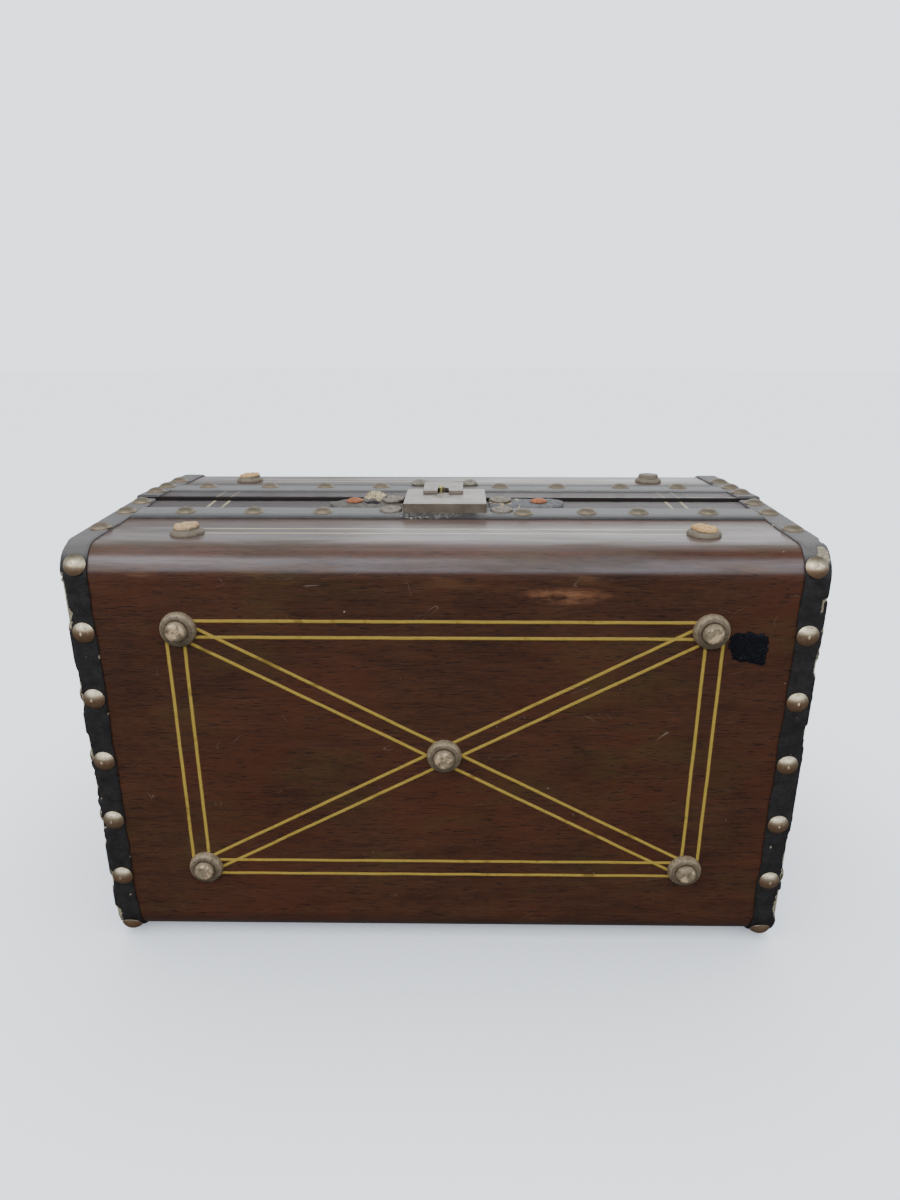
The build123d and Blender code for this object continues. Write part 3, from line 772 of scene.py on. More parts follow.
def binding_rows(side, step):
    """Stations along a binding, from the bottom seam round the face to the top seam: the length from the
    start, and the three runs and two quarter turns as (run number, share of it)."""
    turn = math.pi / 2 - math.atan(SLOPE[side])
    edge_z = top_z(side, HALF_DEPTH)
    lengths = (
        HALF_DEPTH - CORNER - 4 * RELIEF,
        CORNER * math.pi / 2,
        edge_z - WOOD_BASE - 2 * CORNER,
        CORNER * turn,
        HALF_DEPTH - CORNER - SEAM,
    )
    counts = [max(6, round(length / step)) for length in lengths]
    runs = [np.full(n, k) for k, n in enumerate(counts)]
    shares = [np.arange(n) / n for n in counts]
    starts = np.concatenate(([0], np.cumsum(lengths)[:-1]))
    along = [start + share * length for start, share, length in zip(starts, shares, lengths)]
    last = (np.array([len(lengths) - 1]), np.array([1.0]), np.array([sum(lengths)]))
    return tuple(np.concatenate(group + [end]) for group, end in zip((runs, shares, along), last))


def binding_section(side, run, share, offset):
    """Distance from the seam and height of the points at an offset outwards from the wood's outline:
    straight runs are moved along their normals and the round corners change their radius."""
    turn = math.pi / 2 - math.atan(SLOPE[side])
    centre_y = HALF_DEPTH - CORNER
    normal = top_normal(side)
    centre_z = top_z(side, centre_y) - CORNER / normal[2]
    low_z = WOOD_BASE + CORNER
    radius = CORNER + offset
    relief = np.maximum(0, (HINGE_AXIS + RELIEF - (WOOD_BASE - offset)) * RELIEF_SLOPE)
    start = np.maximum(SEAM, relief)
    low_turn = (share - 1) * math.pi / 2
    high_turn = share * turn
    top_y = centre_y + CORNER * abs(normal[1])
    run_y = top_y + share * (SEAM - top_y)
    choices_y = (
        start + share * (centre_y - start),
        centre_y + radius * np.cos(low_turn),
        centre_y + radius + 0 * share,
        centre_y + radius * np.cos(high_turn),
        run_y + offset * abs(normal[1]),
    )
    choices_z = (
        WOOD_BASE - offset + 0 * share,
        low_z + radius * np.sin(low_turn),
        low_z + share * (centre_z - low_z) + 0 * offset,
        centre_z + radius * np.sin(high_turn),
        top_z(side, run_y) + offset * normal[2],
    )
    picks = [run == k for k in range(5)]
    return np.select(picks, choices_y), np.select(picks, choices_z)


FACE_COLUMNS, FOLD_COLUMNS, END_COLUMNS = 13, 6, 14
FOLD = 0.35 * MM
SUNK = 0.05 * MM

# Torn places on the bindings: (length along the binding, distance round the fold, reach, reach), in mm,
# where the fold is at 12 and the end face goes on from it.
TORN = {
    ("front", "left"): (
        (281.5, 12.2, 12, 1.5), (267.5, 12.8, 8, 2.6), (237.5, 13.0, 7, 2.0), (225.5, 12.4, 5, 1.5),
        (201.5, 12.4, 9, 1.4), (180.5, 12.6, 10, 1.2), (155.5, 12.5, 12, 1.1), (123.5, 12.2, 7, 1.3),
        (96, 11.6, 9, 2.4), (82, 10.5, 6, 3.4), (305.5, 13.5, 8, 1.8),
    ),
    ("front", "right"): (
        (301.5, 9.0, 5, 2.4), (311.5, 12.3, 4, 1.2), (248.5, 12.2, 8, 1.2), (210.5, 12.5, 5, 1.3),
        (137.5, 12.4, 16, 1.4), (109.5, 12.0, 10, 2.2), (84, 9.5, 7, 4.0), (93, 5.0, 3, 2.0),
    ),
    ("rear", "left"): ((295.5, 12.5, 9, 2.0), (185.5, 12.4, 12, 1.5), (90, 11, 8, 3), (355.5, 13, 9, 1.5)),
    ("rear", "right"): ((275.5, 12.5, 9, 2.4), (155.5, 12.4, 14, 1.4), (92, 11, 7, 3), (365.5, 12.5, 8, 1.8)),
}


def make_binding(name, end_name, look):
    """Leather folded over the edge of a half. Across it run a face band, a quarter turn round the fold and
    an end band; along it the outline of the half. Its thickness thins at both cut edges and where torn."""
    side, end = SIDES[name], ENDS[end_name]
    seed = 10 * (side + 2) + end
    run, share, along = binding_rows(side, 0.95 * MM)
    run, share, along = run[:, None], share[:, None], along[:, None]
    wander = look.wave * field(along, along * 0, 17 * MM, seed)
    face_edge = HALF_WIDTH - BINDING + wander
    ring = BINDING + look.wave * field(along, along * 0 + 1, 15 * MM, seed + 5) - 0.3 * MM
    corner_x = HALF_WOOD - FOLD
    u = np.linspace(0, 1, FACE_COLUMNS)[None, :-1]
    face_x = face_edge + u * (corner_x - face_edge)
    fold = np.linspace(0, math.pi / 2, FOLD_COLUMNS)[None, :]
    w = np.linspace(0, 1, END_COLUMNS)[None, 1:]
    deep = FOLD + w * (ring - FOLD)
    rows = len(along)
    spread = lambda a: np.broadcast_to(a, (rows, a.shape[1]))
    base_x = np.concatenate((face_x, spread(corner_x + 0 * fold), spread(corner_x + 0 * w)), axis=1)
    base_d = np.concatenate((spread(-FOLD + 0 * u), spread(-FOLD + 0 * fold), -deep), axis=1)
    lean = np.concatenate((0 * u, fold, 0 * w + math.pi / 2), axis=1)
    over = np.concatenate((face_x, spread(HALF_WOOD + fold * MM), HALF_WOOD + deep), axis=1)
    over = (over - HALF_WIDTH + BINDING) / MM
    long = along / MM + 0 * over
    torn = spots(long, over, TORN[(name, end_name)])
    ragged = field(long, over, 3.2, seed + 9, 4)
    bare = smooth_step(0.30, 0.55, torn + 0.28 * ragged)
    on_fold = np.exp(-(((over - 12.2) / 1.6) ** 2))
    chips = smooth_step(1.15, 1.3, field(long, over * 1.5, 5.0, seed + 21, 3) + 0.30 * on_fold)
    bare = np.maximum(bare, chips)
    edge = np.minimum(over - over[:, :1], over[:, -1:] - over)
    soft = 0.55 + 0.45 * smooth_step(0, 0.9, edge)
    pebble = 0.035 * field(long, over, 1.6, seed + 31, 2) + 0.05 * field(long, over, 7, seed + 41, 2)
    thick = (LEATHER * (soft + pebble) * (1 - 0.72 * bare)) + FOLD
    thick = np.minimum(thick, LEATHER + FOLD)
    section = lambda out: binding_section(side, run, share, base_d + out * np.cos(lean))
    grids = []
    for out in (0 * thick + FOLD - SUNK, thick):
        y, z = section(out)
        x = base_x + out * np.sin(lean)
        grids.append(np.stack((end * x, side * y, z), axis=-1))
    rubbed = np.exp(-((over - 12) / 2.0) ** 2) * smooth_step(-0.4, 0.6, field(long, over, 11, seed + 51))
    piece = sheet_object(f"{name}_{end_name}_binding_leather", *grids, bare=bare, rubbed=rubbed)
    return piece


class CASE_OT_bindings(bpy.types.Operator):
    """Folds the torn leather bindings over the edges of both halves."""

    bl_idname = "case.bindings"
    bl_label = "Bindings"

    def execute(self, context):
        look = context.scene.case_leather
        leather = black_leather(look, "binding_leather")
        for name, side in SIDES.items():
            for end_name in ENDS:
                piece = make_binding(name, end_name, look)
                dress(piece, leather, BODY[side], "black_leather", f"{name}_{end_name}_binding")
        return {"FINISHED"}


def strap_sheet(name, place, long, wide, seed, look):
    """A strip of leather: place turns (length, width, height over the board) into points. Both long edges
    wander, the skin dips in a pressed line beside them and thins at the cut."""
    u = np.linspace(long[0], long[1], int((long[1] - long[0]) / (1.1 * MM)))[:, None]
    edges = [look.wave * 0.7 * field(u, 0 * u + k, 19 * MM, seed + k, 4) for k in (0, 1)]
    v = np.linspace(0, 1, 27)[None, :]
    v = 0.5 - 0.5 * np.cos(math.pi * v) * (0.75 + 0.25 * np.cos(math.pi * v) ** 2)
    low, high = wide[0] + edges[0], wide[1] + edges[1]
    across = low + v * (high - low)
    margin = np.minimum(across - low, high - across) / MM
    soft = 0.45 + 0.55 * smooth_step(0, 0.9, margin)
    groove = 0.16 * np.exp(-((margin - 2.2) / 0.45) ** 2)
    a, b = u / MM + 0 * across, across / MM
    pebble = 0.04 * field(a, b, 2.0, seed + 31, 2) + 0.06 * field(a, b, 9, seed + 41, 2)
    nicks = smooth_step(0.95, 1.2, field(a, b, 4.5, seed + 61, 3)) * smooth_step(1.3, 0.2, margin)
    height = np.minimum(LEATHER * (soft - groove + pebble) * (1 - 0.7 * nicks), LEATHER)
    bare = nicks * smooth_step(0.0, 0.5, field(a, b, 12, seed + 71, 2))
    rubbed = smooth_step(1.2, 0.1, margin) * smooth_step(-0.5, 0.6, field(a, b, 15, seed + 81))
    inner, outer = place(u + 0 * across, across, 0 * height - SUNK), place(u + 0 * across, across, height)
    return sheet_object(name, inner, outer, bare=bare, rubbed=rubbed)


class CASE_OT_straps(bpy.types.Operator):
    """Lays the leather straps along the tops and bottoms and down the ends."""

    bl_idname = "case.straps"
    bl_label = "Straps"

    def execute(self, context):
        look = context.scene.case_leather
        leather = black_leather(look, "strap_leather", strap=True)
        half = HALF_WIDTH - BINDING
        for name, side in SIDES.items():
            normal = top_normal(side)
            wide = (STRAP_NEAR, STRAP_FAR)

            def over_top(along, out, height):
                y = out * side + height * normal[1]
                return np.stack((along, y, top_z(side, out) + height * normal[2]), axis=-1)

            def under(along, out, height):
                return np.stack((along, out * side, WOOD_BASE - height), axis=-1)

            for place, where in ((over_top, "top"), (under, "bottom")):
                node = f"{name}_{where}_strap"
                seed = 140 + 7 * side + len(where)
                piece = strap_sheet(node + "_leather", place, (-half, half), wide, seed, look)
                dress(piece, leather, BODY[side], "black_leather", node)
            for end_name, end in ENDS.items():
                node = f"{name}_{end_name}_strap"
                low, high = low_high(node)

                def down(along, out, height):
                    return np.stack((end * (HALF_WOOD + height), out * side, along), axis=-1)

                long = (low[2] + 0.3 * MM, high[2] - 0.3 * MM)
                seed = 240 + 31 * side + end
                piece = strap_sheet(node + "_leather", down, long, wide, seed, look)
                dress(piece, leather, BODY[side], "black_leather", node)
        return {"FINISHED"}


# Nails and rivets


def nail_metal(look):
    """Thin nickel over red base metal: pale on the upright domes, warm below from a painted reflection of
    the table, dark bronze where it faces up.
    """
    g = Finish("nail_metal")
    tarnish = g.noise(2.4, detail=5, rough=0.6)
    batch = g.noise(24, detail=1, shift=5)
    colour = g.mix(tarnish.above(0.40, 0.66) * 0.7, look.nickel, (0.36, 0.28, 0.19))
    # Painted reflection of the warm table on the downward-facing lower halves of the domes
    below = g.nz.above(0.42, -0.05) * (0.55 + 0.8 * batch).least(1)
    colour = g.mix(below, colour, look.warm_reflection)
    upward = g.nz.above(0.55, 0.85)
    bronze = g.mix(batch.above(0.4, 0.6), (0.085, 0.072, 0.043), (0.120, 0.086, 0.058))
    crown = g.nz.above(0.965, 0.995) * tarnish.above(0.40, 0.6)
    bronze = g.mix(crown * 0.6, bronze, (0.34, 0.27, 0.18))
    colour = g.mix(upward * 0.92, colour, bronze)
    grime = g.noise(1.1, detail=3, shift=9).above(0.58, 0.70)
    colour = g.mix(grime * 0.5, colour, (0.085, 0.065, 0.040))
    gloss = 0.22 + 0.25 * tarnish + 0.18 * grime + 0.12 * upward
    shine = 0.85 - 0.35 * grime - 0.35 * upward
    return g.finish(colour, gloss, shine, g.bump(tarnish - grime * 0.5, 0.00014, 0.5))


def aged_rivet(name, light, dark):
    """Dull oxidised metal with a chalky bloom."""
    g = Finish(name)
    bloom = g.noise(2.0, detail=5, rough=0.65)
    colour = g.mix(bloom.above(0.35, 0.68), dark, light)
    pits = g.noise(0.7, detail=2, shift=4).above(0.60, 0.70)
    colour = g.mix(pits * 0.6, colour, tuple(0.4 * c for c in dark))
    colour = g.mix(g.specks(1.5, 0.2, 0.2) * 0.6, colour, (0.52, 0.49, 0.44))
    return g.finish(colour, 0.48 + 0.25 * bloom, 0.45, g.bump(bloom - pits, 0.0002, 0.7))


class CASE_OT_nails(bpy.types.Operator):
    """Finishes the domed nails of the bindings and straps."""

    bl_idname = "case.nails"
    bl_label = "Nails"

    def execute(self, context):
        metal = nail_metal(context.scene.case_metal)
        for name in SIDES:
            for kind in ("binding", "strap"):
                give(f"{name}_{kind}_nails", metal)
        return {"FINISHED"}


DISC_LIFT = 2.4 * MM
DISC_PROFILE = np.array((
    (0.4, -0.3), (5.6, -0.3), (5.95, 0.1), (6.0, 0.7), (5.75, 1.25), (5.2, 1.5), (4.6, 1.42),
    (4.1, 1.05), (3.7, 0.95), (3.2, 1.15), (2.2, 1.55), (1.1, 1.72), (0.35, 1.76),
)) * MM


def disc_grid(place, seed):
    """A pressed rivet head: a raised rim, a ring pressed in, and a low dome, a little bent and dented."""
    count = 40
    angle = np.arange(count)[None, :] * 2 * math.pi / count
    radius, height = (DISC_PROFILE[:, k : k + 1] + 0 * angle for k in (0, 1))
    u, v = radius / MM * np.cos(angle), radius / MM * np.sin(angle)
    bend = 0.16 * MM * field(u, v, 5.0, seed, 3) * (radius > 0.3 * MM)
    radius = radius * (1 + 0.03 * field(np.cos(angle), np.sin(angle), 1.1, seed + 3, 2))
    return turned_grid(radius, height + bend, place, count)


class CASE_OT_rivets(bpy.types.Operator):
    """Sets the broad discs beside the lock and finishes the other rivets."""

    bl_idname = "case.rivets"
    bl_label = "Rivets"

    def execute(self, context):
        low, high = low_high("disc_rivets")
        reach = 6.0 * MM
        parts = []
        for k, x in enumerate((low[0] + reach, high[0] - reach)):
            for j, y in enumerate((-low[1] - reach, reach - high[1])):
                lift = LEATHER if j == 0 else DISC_LIFT
                parts.append(disc_grid(on_top(FRONT, x, y, lift), 40 + 2 * k + j))
        discs = mesh_object("lock_side_discs", *joined(parts), {})
        tan = aged_rivet("disc_metal", (0.36, 0.31, 0.25), (0.15, 0.125, 0.095))
        dress(discs, tan, BODY[FRONT], "aged_rivet", "disc_rivets")
        give("hasp_rivets", aged_rivet("hasp_rivet_metal", (0.33, 0.31, 0.25), (0.13, 0.12, 0.09)))
        give("handle_tab_rivets", aged_rivet("rusty_rivet", (0.52, 0.19, 0.075), (0.26, 0.085, 0.035)))
        return {"FINISHED"}


# Bosses


def boss_paint(name):
    """Bronze-grey paint on turned wood: rubbed pale in one place on the tip and along the edges, with painted
    shade in its groove.
    """
    g = Finish(name)
    bloom = g.noise(2.2, detail=4, rough=0.6)
    colour = g.mix(bloom.above(0.32, 0.68), (0.180, 0.130, 0.078), (0.340, 0.262, 0.165))
    rings = g.noise(0.8, detail=3, shift=5).above(0.56, 0.68)
    colour = g.mix(rings * 0.45, colour, (0.070, 0.045, 0.028))
    distance = abs(g.y) - HALF_DEPTH / MM
    # Painted shade in the groove between the collar and the tip
    groove = (distance - 3.5).within(0.4, 0.4)
    colour = g.mix(groove * 0.5, colour, (0.050, 0.034, 0.022))
    tip = distance.above(5.4, 6.1) * g.noise(3.4, detail=3, shift=9).above(0.50, 0.60)
    colour = g.mix(tip * 0.9, colour, (0.66, 0.47, 0.28))
    return g.finish(colour, 0.42 + 0.2 * bloom, 0.2, g.bump(bloom + rings, 0.00025, 0.6))


def broken_wood(name, pale, deep):
    """Paint outside and split pale wood where the tip broke away."""
    g = Finish(name)
    bare = g.mark("bare")
    fibre = g.noise(0.7, (1, 5, 1), detail=4)
    wood = g.mix(fibre.above(0.3, 0.7), deep, pale)
    wood = g.mix(g.noise(2.2, detail=3, shift=3).above(0.58, 0.7) * 0.5, wood, (0.16, 0.085, 0.04))
    bloom = g.noise(2.6, detail=4, shift=7)
    paint = g.mix(bloom, (0.085, 0.062, 0.042), (0.24, 0.19, 0.13))
    split = (bare + (fibre - 0.5) * 0.4).above(0.40, 0.58)
    colour = g.mix(split, paint, wood)
    return g.finish(colour, 0.5 + 0.25 * split, 0.0, g.bump(fibre + bloom * 0.4, 0.0004, 0.8))


BOSS_TIP = 4.9
COLLAR_ROWS = 14
BOSS_PROFILE = np.array((
    (0.3, -0.2), (8.0, -0.2), (8.2, 0.3), (8.15, 0.8), (7.8, 1.6), (7.2, 2.2), (6.7, 2.5), (6.3, 2.5),
    (6.2, 2.9), (6.1, 3.6), (5.9, 4.4), (5.5, 4.9), (4.4, 5.0), (3.0, 4.9), (1.5, 4.9), (0.3, 4.9),
)) * MM


def make_broken_boss(name, place, seed, loss, lean):
    """A turned boss whose tip has broken off: the turned profile, with the part inside the collar cut
    down by a slanting plane and splintered by noise."""
    count = 56
    angle = np.arange(count)[None, :] * 2 * math.pi / count
    profile = np.repeat(BOSS_PROFILE, 2, axis=0)
    profile = (profile[:-1] + profile[1:]) / 2
    radius, height = (profile[:, k : k + 1] + 0 * angle for k in (0, 1))
    u, v = radius / MM * np.cos(angle), radius / MM * np.sin(angle)
    splinter = field(u, v * 0.35, 1.3, seed, 3)
    cut = (BOSS_TIP - loss + lean * u / 5 + 0.5 * splinter) * MM
    above = np.arange(len(profile))[:, None] > COLLAR_ROWS
    bare = smooth_step(0.2, 1.0, (height - cut) / MM + 1.9 * (loss > 0) + 0.5 * splinter) * above
    height = np.where(above, np.minimum(height, cut), height)
    radius = radius * (1 + 0.05 * above * field(np.cos(angle), np.sin(angle), 0.5, seed + 4, 3))
    points, faces = turned_grid(radius, height, place, count)
    bare = np.concatenate((bare.ravel(), (0, 1)))
    return mesh_object(name, points, faces, {"bare": bare})


class CASE_OT_bosses(bpy.types.Operator):
    """Paints the turned bosses and breaks the tips off those on top."""

    bl_idname = "case.bosses"
    bl_label = "Bosses"

    def execute(self, context):
        paint = boss_paint("boss_paint")
        for name in SIDES:
            for place in ("centre", "high_left", "high_right", "low_left", "low_right"):
                give(f"{name}_boss_{place}", paint)
        pale = broken_wood("split_pale_wood", (0.62, 0.46, 0.26), (0.40, 0.22, 0.09))
        orange = broken_wood("split_orange_wood", (0.72, 0.50, 0.22), (0.50, 0.24, 0.07))
        brown = broken_wood("rubbed_brown_wood", (0.30, 0.19, 0.12), (0.20, 0.11, 0.07))
        tops = (
            ("front", "left", pale, 0.2, 0.35),
            ("front", "right", orange, 0.8, -0.4),
            ("rear", "left", orange, 0.2, 0.5),
            ("rear", "right", brown, -0.4, 0.1),
        )
        for k, (name, end_name, material, loss, lean) in enumerate(tops):
            side, end = SIDES[name], ENDS[end_name]
            x, y, _ = (BOSS_TOP[side][0] + BOSS_TOP[side][1]) / 2
            node = f"{name}_boss_top_{end_name}"
            place = on_top(side, end * abs(x), abs(y))
            piece = make_broken_boss(node + "_worn", place, 60 + k, loss, lean)
            dress(piece, material, BODY[side], "turned_boss", node)
        return {"FINISHED"}


# Handle tabs


TAB_RIVET = 50.5


def tab_leather(name, face, light):
    """Cracked tab leather with its fibres showing where bare, and near-black painted shade in the pit between
    its folds.
    """
    g = Finish(name)
    bare, hole = g.mark("bare"), g.mark("hole")
    crack = g.noise(2.2, detail=5, rough=0.7)
    colour = g.mix(crack.above(0.35, 0.70), face, light)
    fibre = g.noise(0.8, (1, 2.5, 1), detail=4, shift=5)
    core = g.mix(fibre.above(0.35, 0.65), (0.22, 0.15, 0.075), (0.58, 0.48, 0.30))
    colour = g.mix((bare + (fibre - 0.5) * 0.6).above(0.40, 0.60), colour, core)
    colour = g.mix(hole.above(0.35, 0.55), colour, (0.006, 0.005, 0.005))
    return g.finish(colour, 0.62 + 0.2 * crack, 0.0, g.bump(crack + fibre * 0.6, 0.0004, 0.8))


def tab_grids(end, lift, outline_seed):
    """The tongue's two skins: a strip along the case whose outer end is round, with the given lift over
    the board on a grid of length and width."""
    low, high = low_high("handle_tab_right")
    near, far = low[0], high[0]
    y0, y1 = -high[1], -low[1]
    radius, mid = (y1 - y0) / 2, (y0 + y1) / 2
    u = np.linspace(0, 1, 64)[:, None]
    v = np.linspace(-1, 1, 30)[None, :]
    s = 1 - (1 - u) ** 1.6
    x = near + s * (far - near)
    round_end = np.clip((x - (far - radius)) / radius, 0, 1)
    half = radius * np.sqrt(np.maximum(1 - round_end**2, 0.004))
    half = half * (1 + 0.06 * field(u * 9, u * 0, 1.0, outline_seed, 3))
    y = mid + v * half
    a, b = (x / MM + 0 * y), (y - mid) / MM
    height, marks = lift(a, b, np.abs(v) + 0 * u)
    normal = top_normal(FRONT)
    flat = np.stack((end * a * MM, -y, top_z(FRONT, y) + 0 * x), axis=-1)
    return flat - SUNK * normal, flat + height[..., None] * MM * normal, marks


def crumpled(a, b, rim):
    """Lift of the left tab in mm: two torn folds stand up beside a pit that is painted near-black as shade,
    the rest lies wrinkled.
    """
    folds = 5.2 * np.exp(-(((a - 35 + 0.3 * b) / 4.2) ** 2) - ((b + 5.0) / 3.4) ** 2)
    folds += 4.2 * np.exp(-(((a - 42.5) / 3.4) ** 2) - ((b + 6.5) / 2.6) ** 2)
    folds += 2.4 * np.exp(-(((a - 29) / 3.0) ** 2) - ((b + 1.0) / 4.0) ** 2)
    # The pit beside the folds: lowered, and painted near-black as shade
    hole = np.exp(-(((a - 41 + 0.2 * b) / 5.0) ** 2) - ((b + 0.6) / 2.6) ** 2)
    wrinkle = 0.45 * field(a, b, 4.5, 301, 4)
    flat = 1.5 + wrinkle
    near_rivet = np.exp(-(((a - TAB_RIVET) / 6.0) ** 4) - (b / 6.0) ** 4)
    height = (flat + folds) * (1 - 0.85 * hole)
    height = height * (1 - near_rivet) + 2.3 * near_rivet
    height = np.maximum(height * (1 - 0.5 * smooth_step(0.85, 1.0, rim)), 0.25)
    bare = smooth_step(1.4, 2.8, folds + 1.1 * field(a, b, 2.5, 311, 3))
    return height, {"bare": bare, "hole": hole}


def flat_tab(a, b, rim):
    """Lift of the right tab in mm: lying flat, dished round its rivet, with a thin curled rim."""
    wrinkle = 0.22 * field(a, b, 5.5, 401, 4)
    crack = smooth_step(0.6, 0.9, field(a, b, 3.2, 411, 3)) * (a < 44)
    height = 2.1 + wrinkle - 0.9 * crack
    height = height * (1 - 0.45 * smooth_step(0.80, 1.0, rim))
    bare = smooth_step(0.8, 1.2, field(a * 1.2, b, 4.0, 421, 3) + 0.8 * (a < 40))
    return np.clip(height, 0.3, 2.4), {"bare": bare, "hole": 0 * bare}


class CASE_OT_tabs(bpy.types.Operator):
    """Lays what is left of the handle's two leather tabs."""

    bl_idname = "case.tabs"
    bl_label = "Handle tabs"

    def execute(self, context):
        tan = tab_leather("torn_tab_leather", (0.060, 0.052, 0.045), (0.165, 0.145, 0.120))
        blue = tab_leather("dark_tab_leather", (0.062, 0.060, 0.064), (0.185, 0.178, 0.178))
        for end_name, lift, material in (("left", crumpled, tan), ("right", flat_tab, blue)):
            inner, outer, marks = tab_grids(ENDS[end_name], lift, 500 + ENDS[end_name])
            piece = sheet_object(f"handle_tab_{end_name}_leather", inner, outer, **marks)
            dress(piece, material, BODY[FRONT], "tab_leather", "handle_tab_" + end_name)
        return {"FINISHED"}


# Lock and hinges

SLOT_WEAR_X, SLOT_WEAR_Y = -2, -17


def plated_steel(name, look, brown=0.5, scale=1.0):
    """Worn nickel plate on pressed steel: fine vertical drags, brown where it has gone through."""
    g = Finish(name)
    drag = g.noise(0.8, (1, 1, 9), detail=4)
    cloud = g.noise(6, detail=4, shift=3)
    light = tuple(scale * c for c in look.steel)
    colour = g.mix(cloud.above(0.35, 0.70), tuple(0.62 * c for c in light), light)
    upright = abs(g.nz).above(0.7, 0.3)
    worn = (cloud * 0.6 + drag * 0.5 + upright * 0.38).above(0.62, 0.80)
    slot_wear = g.oval(g.x - SLOT_WEAR_X, 26, g.y - SLOT_WEAR_Y, 22).above(1.6, 0.3) * cloud.above(0.35, 0.6)
    colour = g.mix((worn * brown).most(slot_wear * 0.8), colour, (0.175, 0.125, 0.078))
    rust = g.noise(3.5, detail=5, rough=0.7, shift=11).above(0.62, 0.72)
    colour = g.mix(rust * 0.55, colour, (0.16, 0.065, 0.028))
    scratch = g.scratches(2.2, 0.006, 0.55, 17, (0, 0.3, 0.5))
    colour = g.mix(scratch * 0.5, colour, (0.75, 0.72, 0.68))
    gloss = 0.34 + 0.22 * cloud + 0.2 * rust
    return g.finish(colour, gloss, 0.85 - 0.5 * rust, g.bump(drag * 0.5 + cloud - rust * 0.4, 0.00016, 0.5))


def tarnished_brass():
    """Green-gold brass with bright worn edges."""
    g = Finish("knob_brass")
    bloom = g.noise(0.9, detail=4)
    colour = g.mix(bloom, (0.30, 0.26, 0.09), (0.68, 0.60, 0.30))
    return g.finish(colour, 0.34, 0.9, g.bump(bloom, 0.0001, 0.5))


class CASE_OT_lock(bpy.types.Operator):
    """Finishes the lock, its bolt and knob, and the hasp."""

    bl_idname = "case.lock"
    bl_label = "Lock and hasp"

    def execute(self, context):
        look = context.scene.case_metal
        give("lock_case", plated_steel("lock_case_steel", look, 0.75, 1.25))
        give("hasp", plated_steel("hasp_steel", look, 0.5, 1.05))
        give("hasp_leaf", plated_steel("hasp_leaf_steel", look, 0.6, 0.75))
        dark = plated_steel("lock_inner_steel", look, 0.7, 0.55)
        for node in ("lock_base", "lock_bolt", "hasp_pin"):
            give(node, dark)
        give("lock_knob", tarnished_brass())
        return {"FINISHED"}


class CASE_OT_hinges(bpy.types.Operator):
    """Finishes the bottom hinges and their screws."""

    bl_idname = "case.hinges"
    bl_label = "Hinges"

    def execute(self, context):
        look = context.scene.case_metal
        steel = plated_steel("hinge_steel", look, 0.8, 0.6)
        for name in SIDES:
            give(name + "_hinge_screws", steel)
            for end_name in ENDS:
                give(f"{name}_{end_name}_hinge_leaf", steel)
        for end_name in ENDS:
            give(end_name + "_hinge_pin", steel)
        return {"FINISHED"}


# Felt scrap

FELT_OUT, FELT_DOWN = 18.6, 8.5
FELT_HALF_WIDTH, FELT_HALF_HEIGHT = 9.0, 7.4


def felt():
    """A black felt scrap with pale lint."""
    g = Finish("felt_patch")
    fuzz = g.noise(0.5, detail=4, rough=0.7)
    lint = g.noise(0.35, (5, 1, 1), detail=2, shift=6, twist=1.5).above(0.64, 0.70)
    colour = g.mix(fuzz, (0.002, 0.002, 0.003), (0.010, 0.011, 0.015))
    colour = g.mix(lint * 0.45, colour, (0.14, 0.15, 0.18))
    return g.finish(colour, 0.95, 0.0, g.bump(fuzz, 0.0006, 1.0), Specular_IOR_Level=0.15)


class CASE_OT_felt(bpy.types.Operator):
    """Sticks the black felt scrap on the face beside the upper right boss."""

    bl_idname = "case.felt"
    bl_label = "Felt scrap"

    def execute(self, context):
        across, _, high = middle(BOSS_HIGH)
        u = np.linspace(-1, 1, 48)[:, None]
        v = np.linspace(-1, 1, 44)[None, :]
        a, b = u * np.sqrt(1 - v * v / 6), v * np.sqrt(1 - u * u / 5)
        angle = np.arctan2(b, a)
        ragged = 1 + 0.14 * field(np.cos(angle), np.sin(angle), 0.30, 701, 3)
        x = across + FELT_OUT + FELT_HALF_WIDTH * a * ragged
        z = high - FELT_DOWN + FELT_HALF_HEIGHT * b * ragged - 0.8 * a
        rim = np.maximum(np.abs(u), np.abs(v))
        thick = 0.25 + 0.45 * smooth_step(1.0, 0.8, rim) + 0.22 * field(x, z, 1.6, 711, 3)
        thick = np.clip(thick, 0.1, 1.0)
        y = -HALF_DEPTH / MM
        inner = np.stack((x, y + 0.03 + 0 * x, z), axis=-1) * MM
        outer = np.stack((x, y - thick, z), axis=-1) * MM
        piece = sheet_object("felt_scrap", inner, outer)
        dress(piece, felt(), BODY[FRONT], "black_leather")
        return {"FINISHED"}


# Stage

FLOOR_DROP = 0.2 * MM


def floor_surface(look):
    """Plain matt floor with the faintest mottling. It is mostly see-through, darkened by an ambient-occlusion
    contact shadow where the case stands over it, so that the half that swings down past it can still be seen."""
    g = Finish("plain_floor")
    cloud = g.noise(120, detail=3)
    material = g.finish(g.mix(cloud, tuple(0.97 * c for c in look.floor), look.floor), 0.8)
    # Contact shadow from an ambient-occlusion node, as the colour of the see-through part
    contact_shade = g.node("ShaderNodeAmbientOcclusion", {"samples": 12}, {"Distance": look.shadow_reach}, "AO")
    clear = g.node("ShaderNodeBsdfTransparent", {}, {"Color": g.mix(contact_shade, (0.10, 0.10, 0.11), (1, 1, 1))})
    sockets = {0: look.floor_body, 1: clear, 2: Value(g, g.shader.outputs[0])}
    seen = g.node("ShaderNodeMixShader", {}, sockets)
    g.feed(g.tree.nodes["Material Output"].inputs["Surface"], seen)
    return material


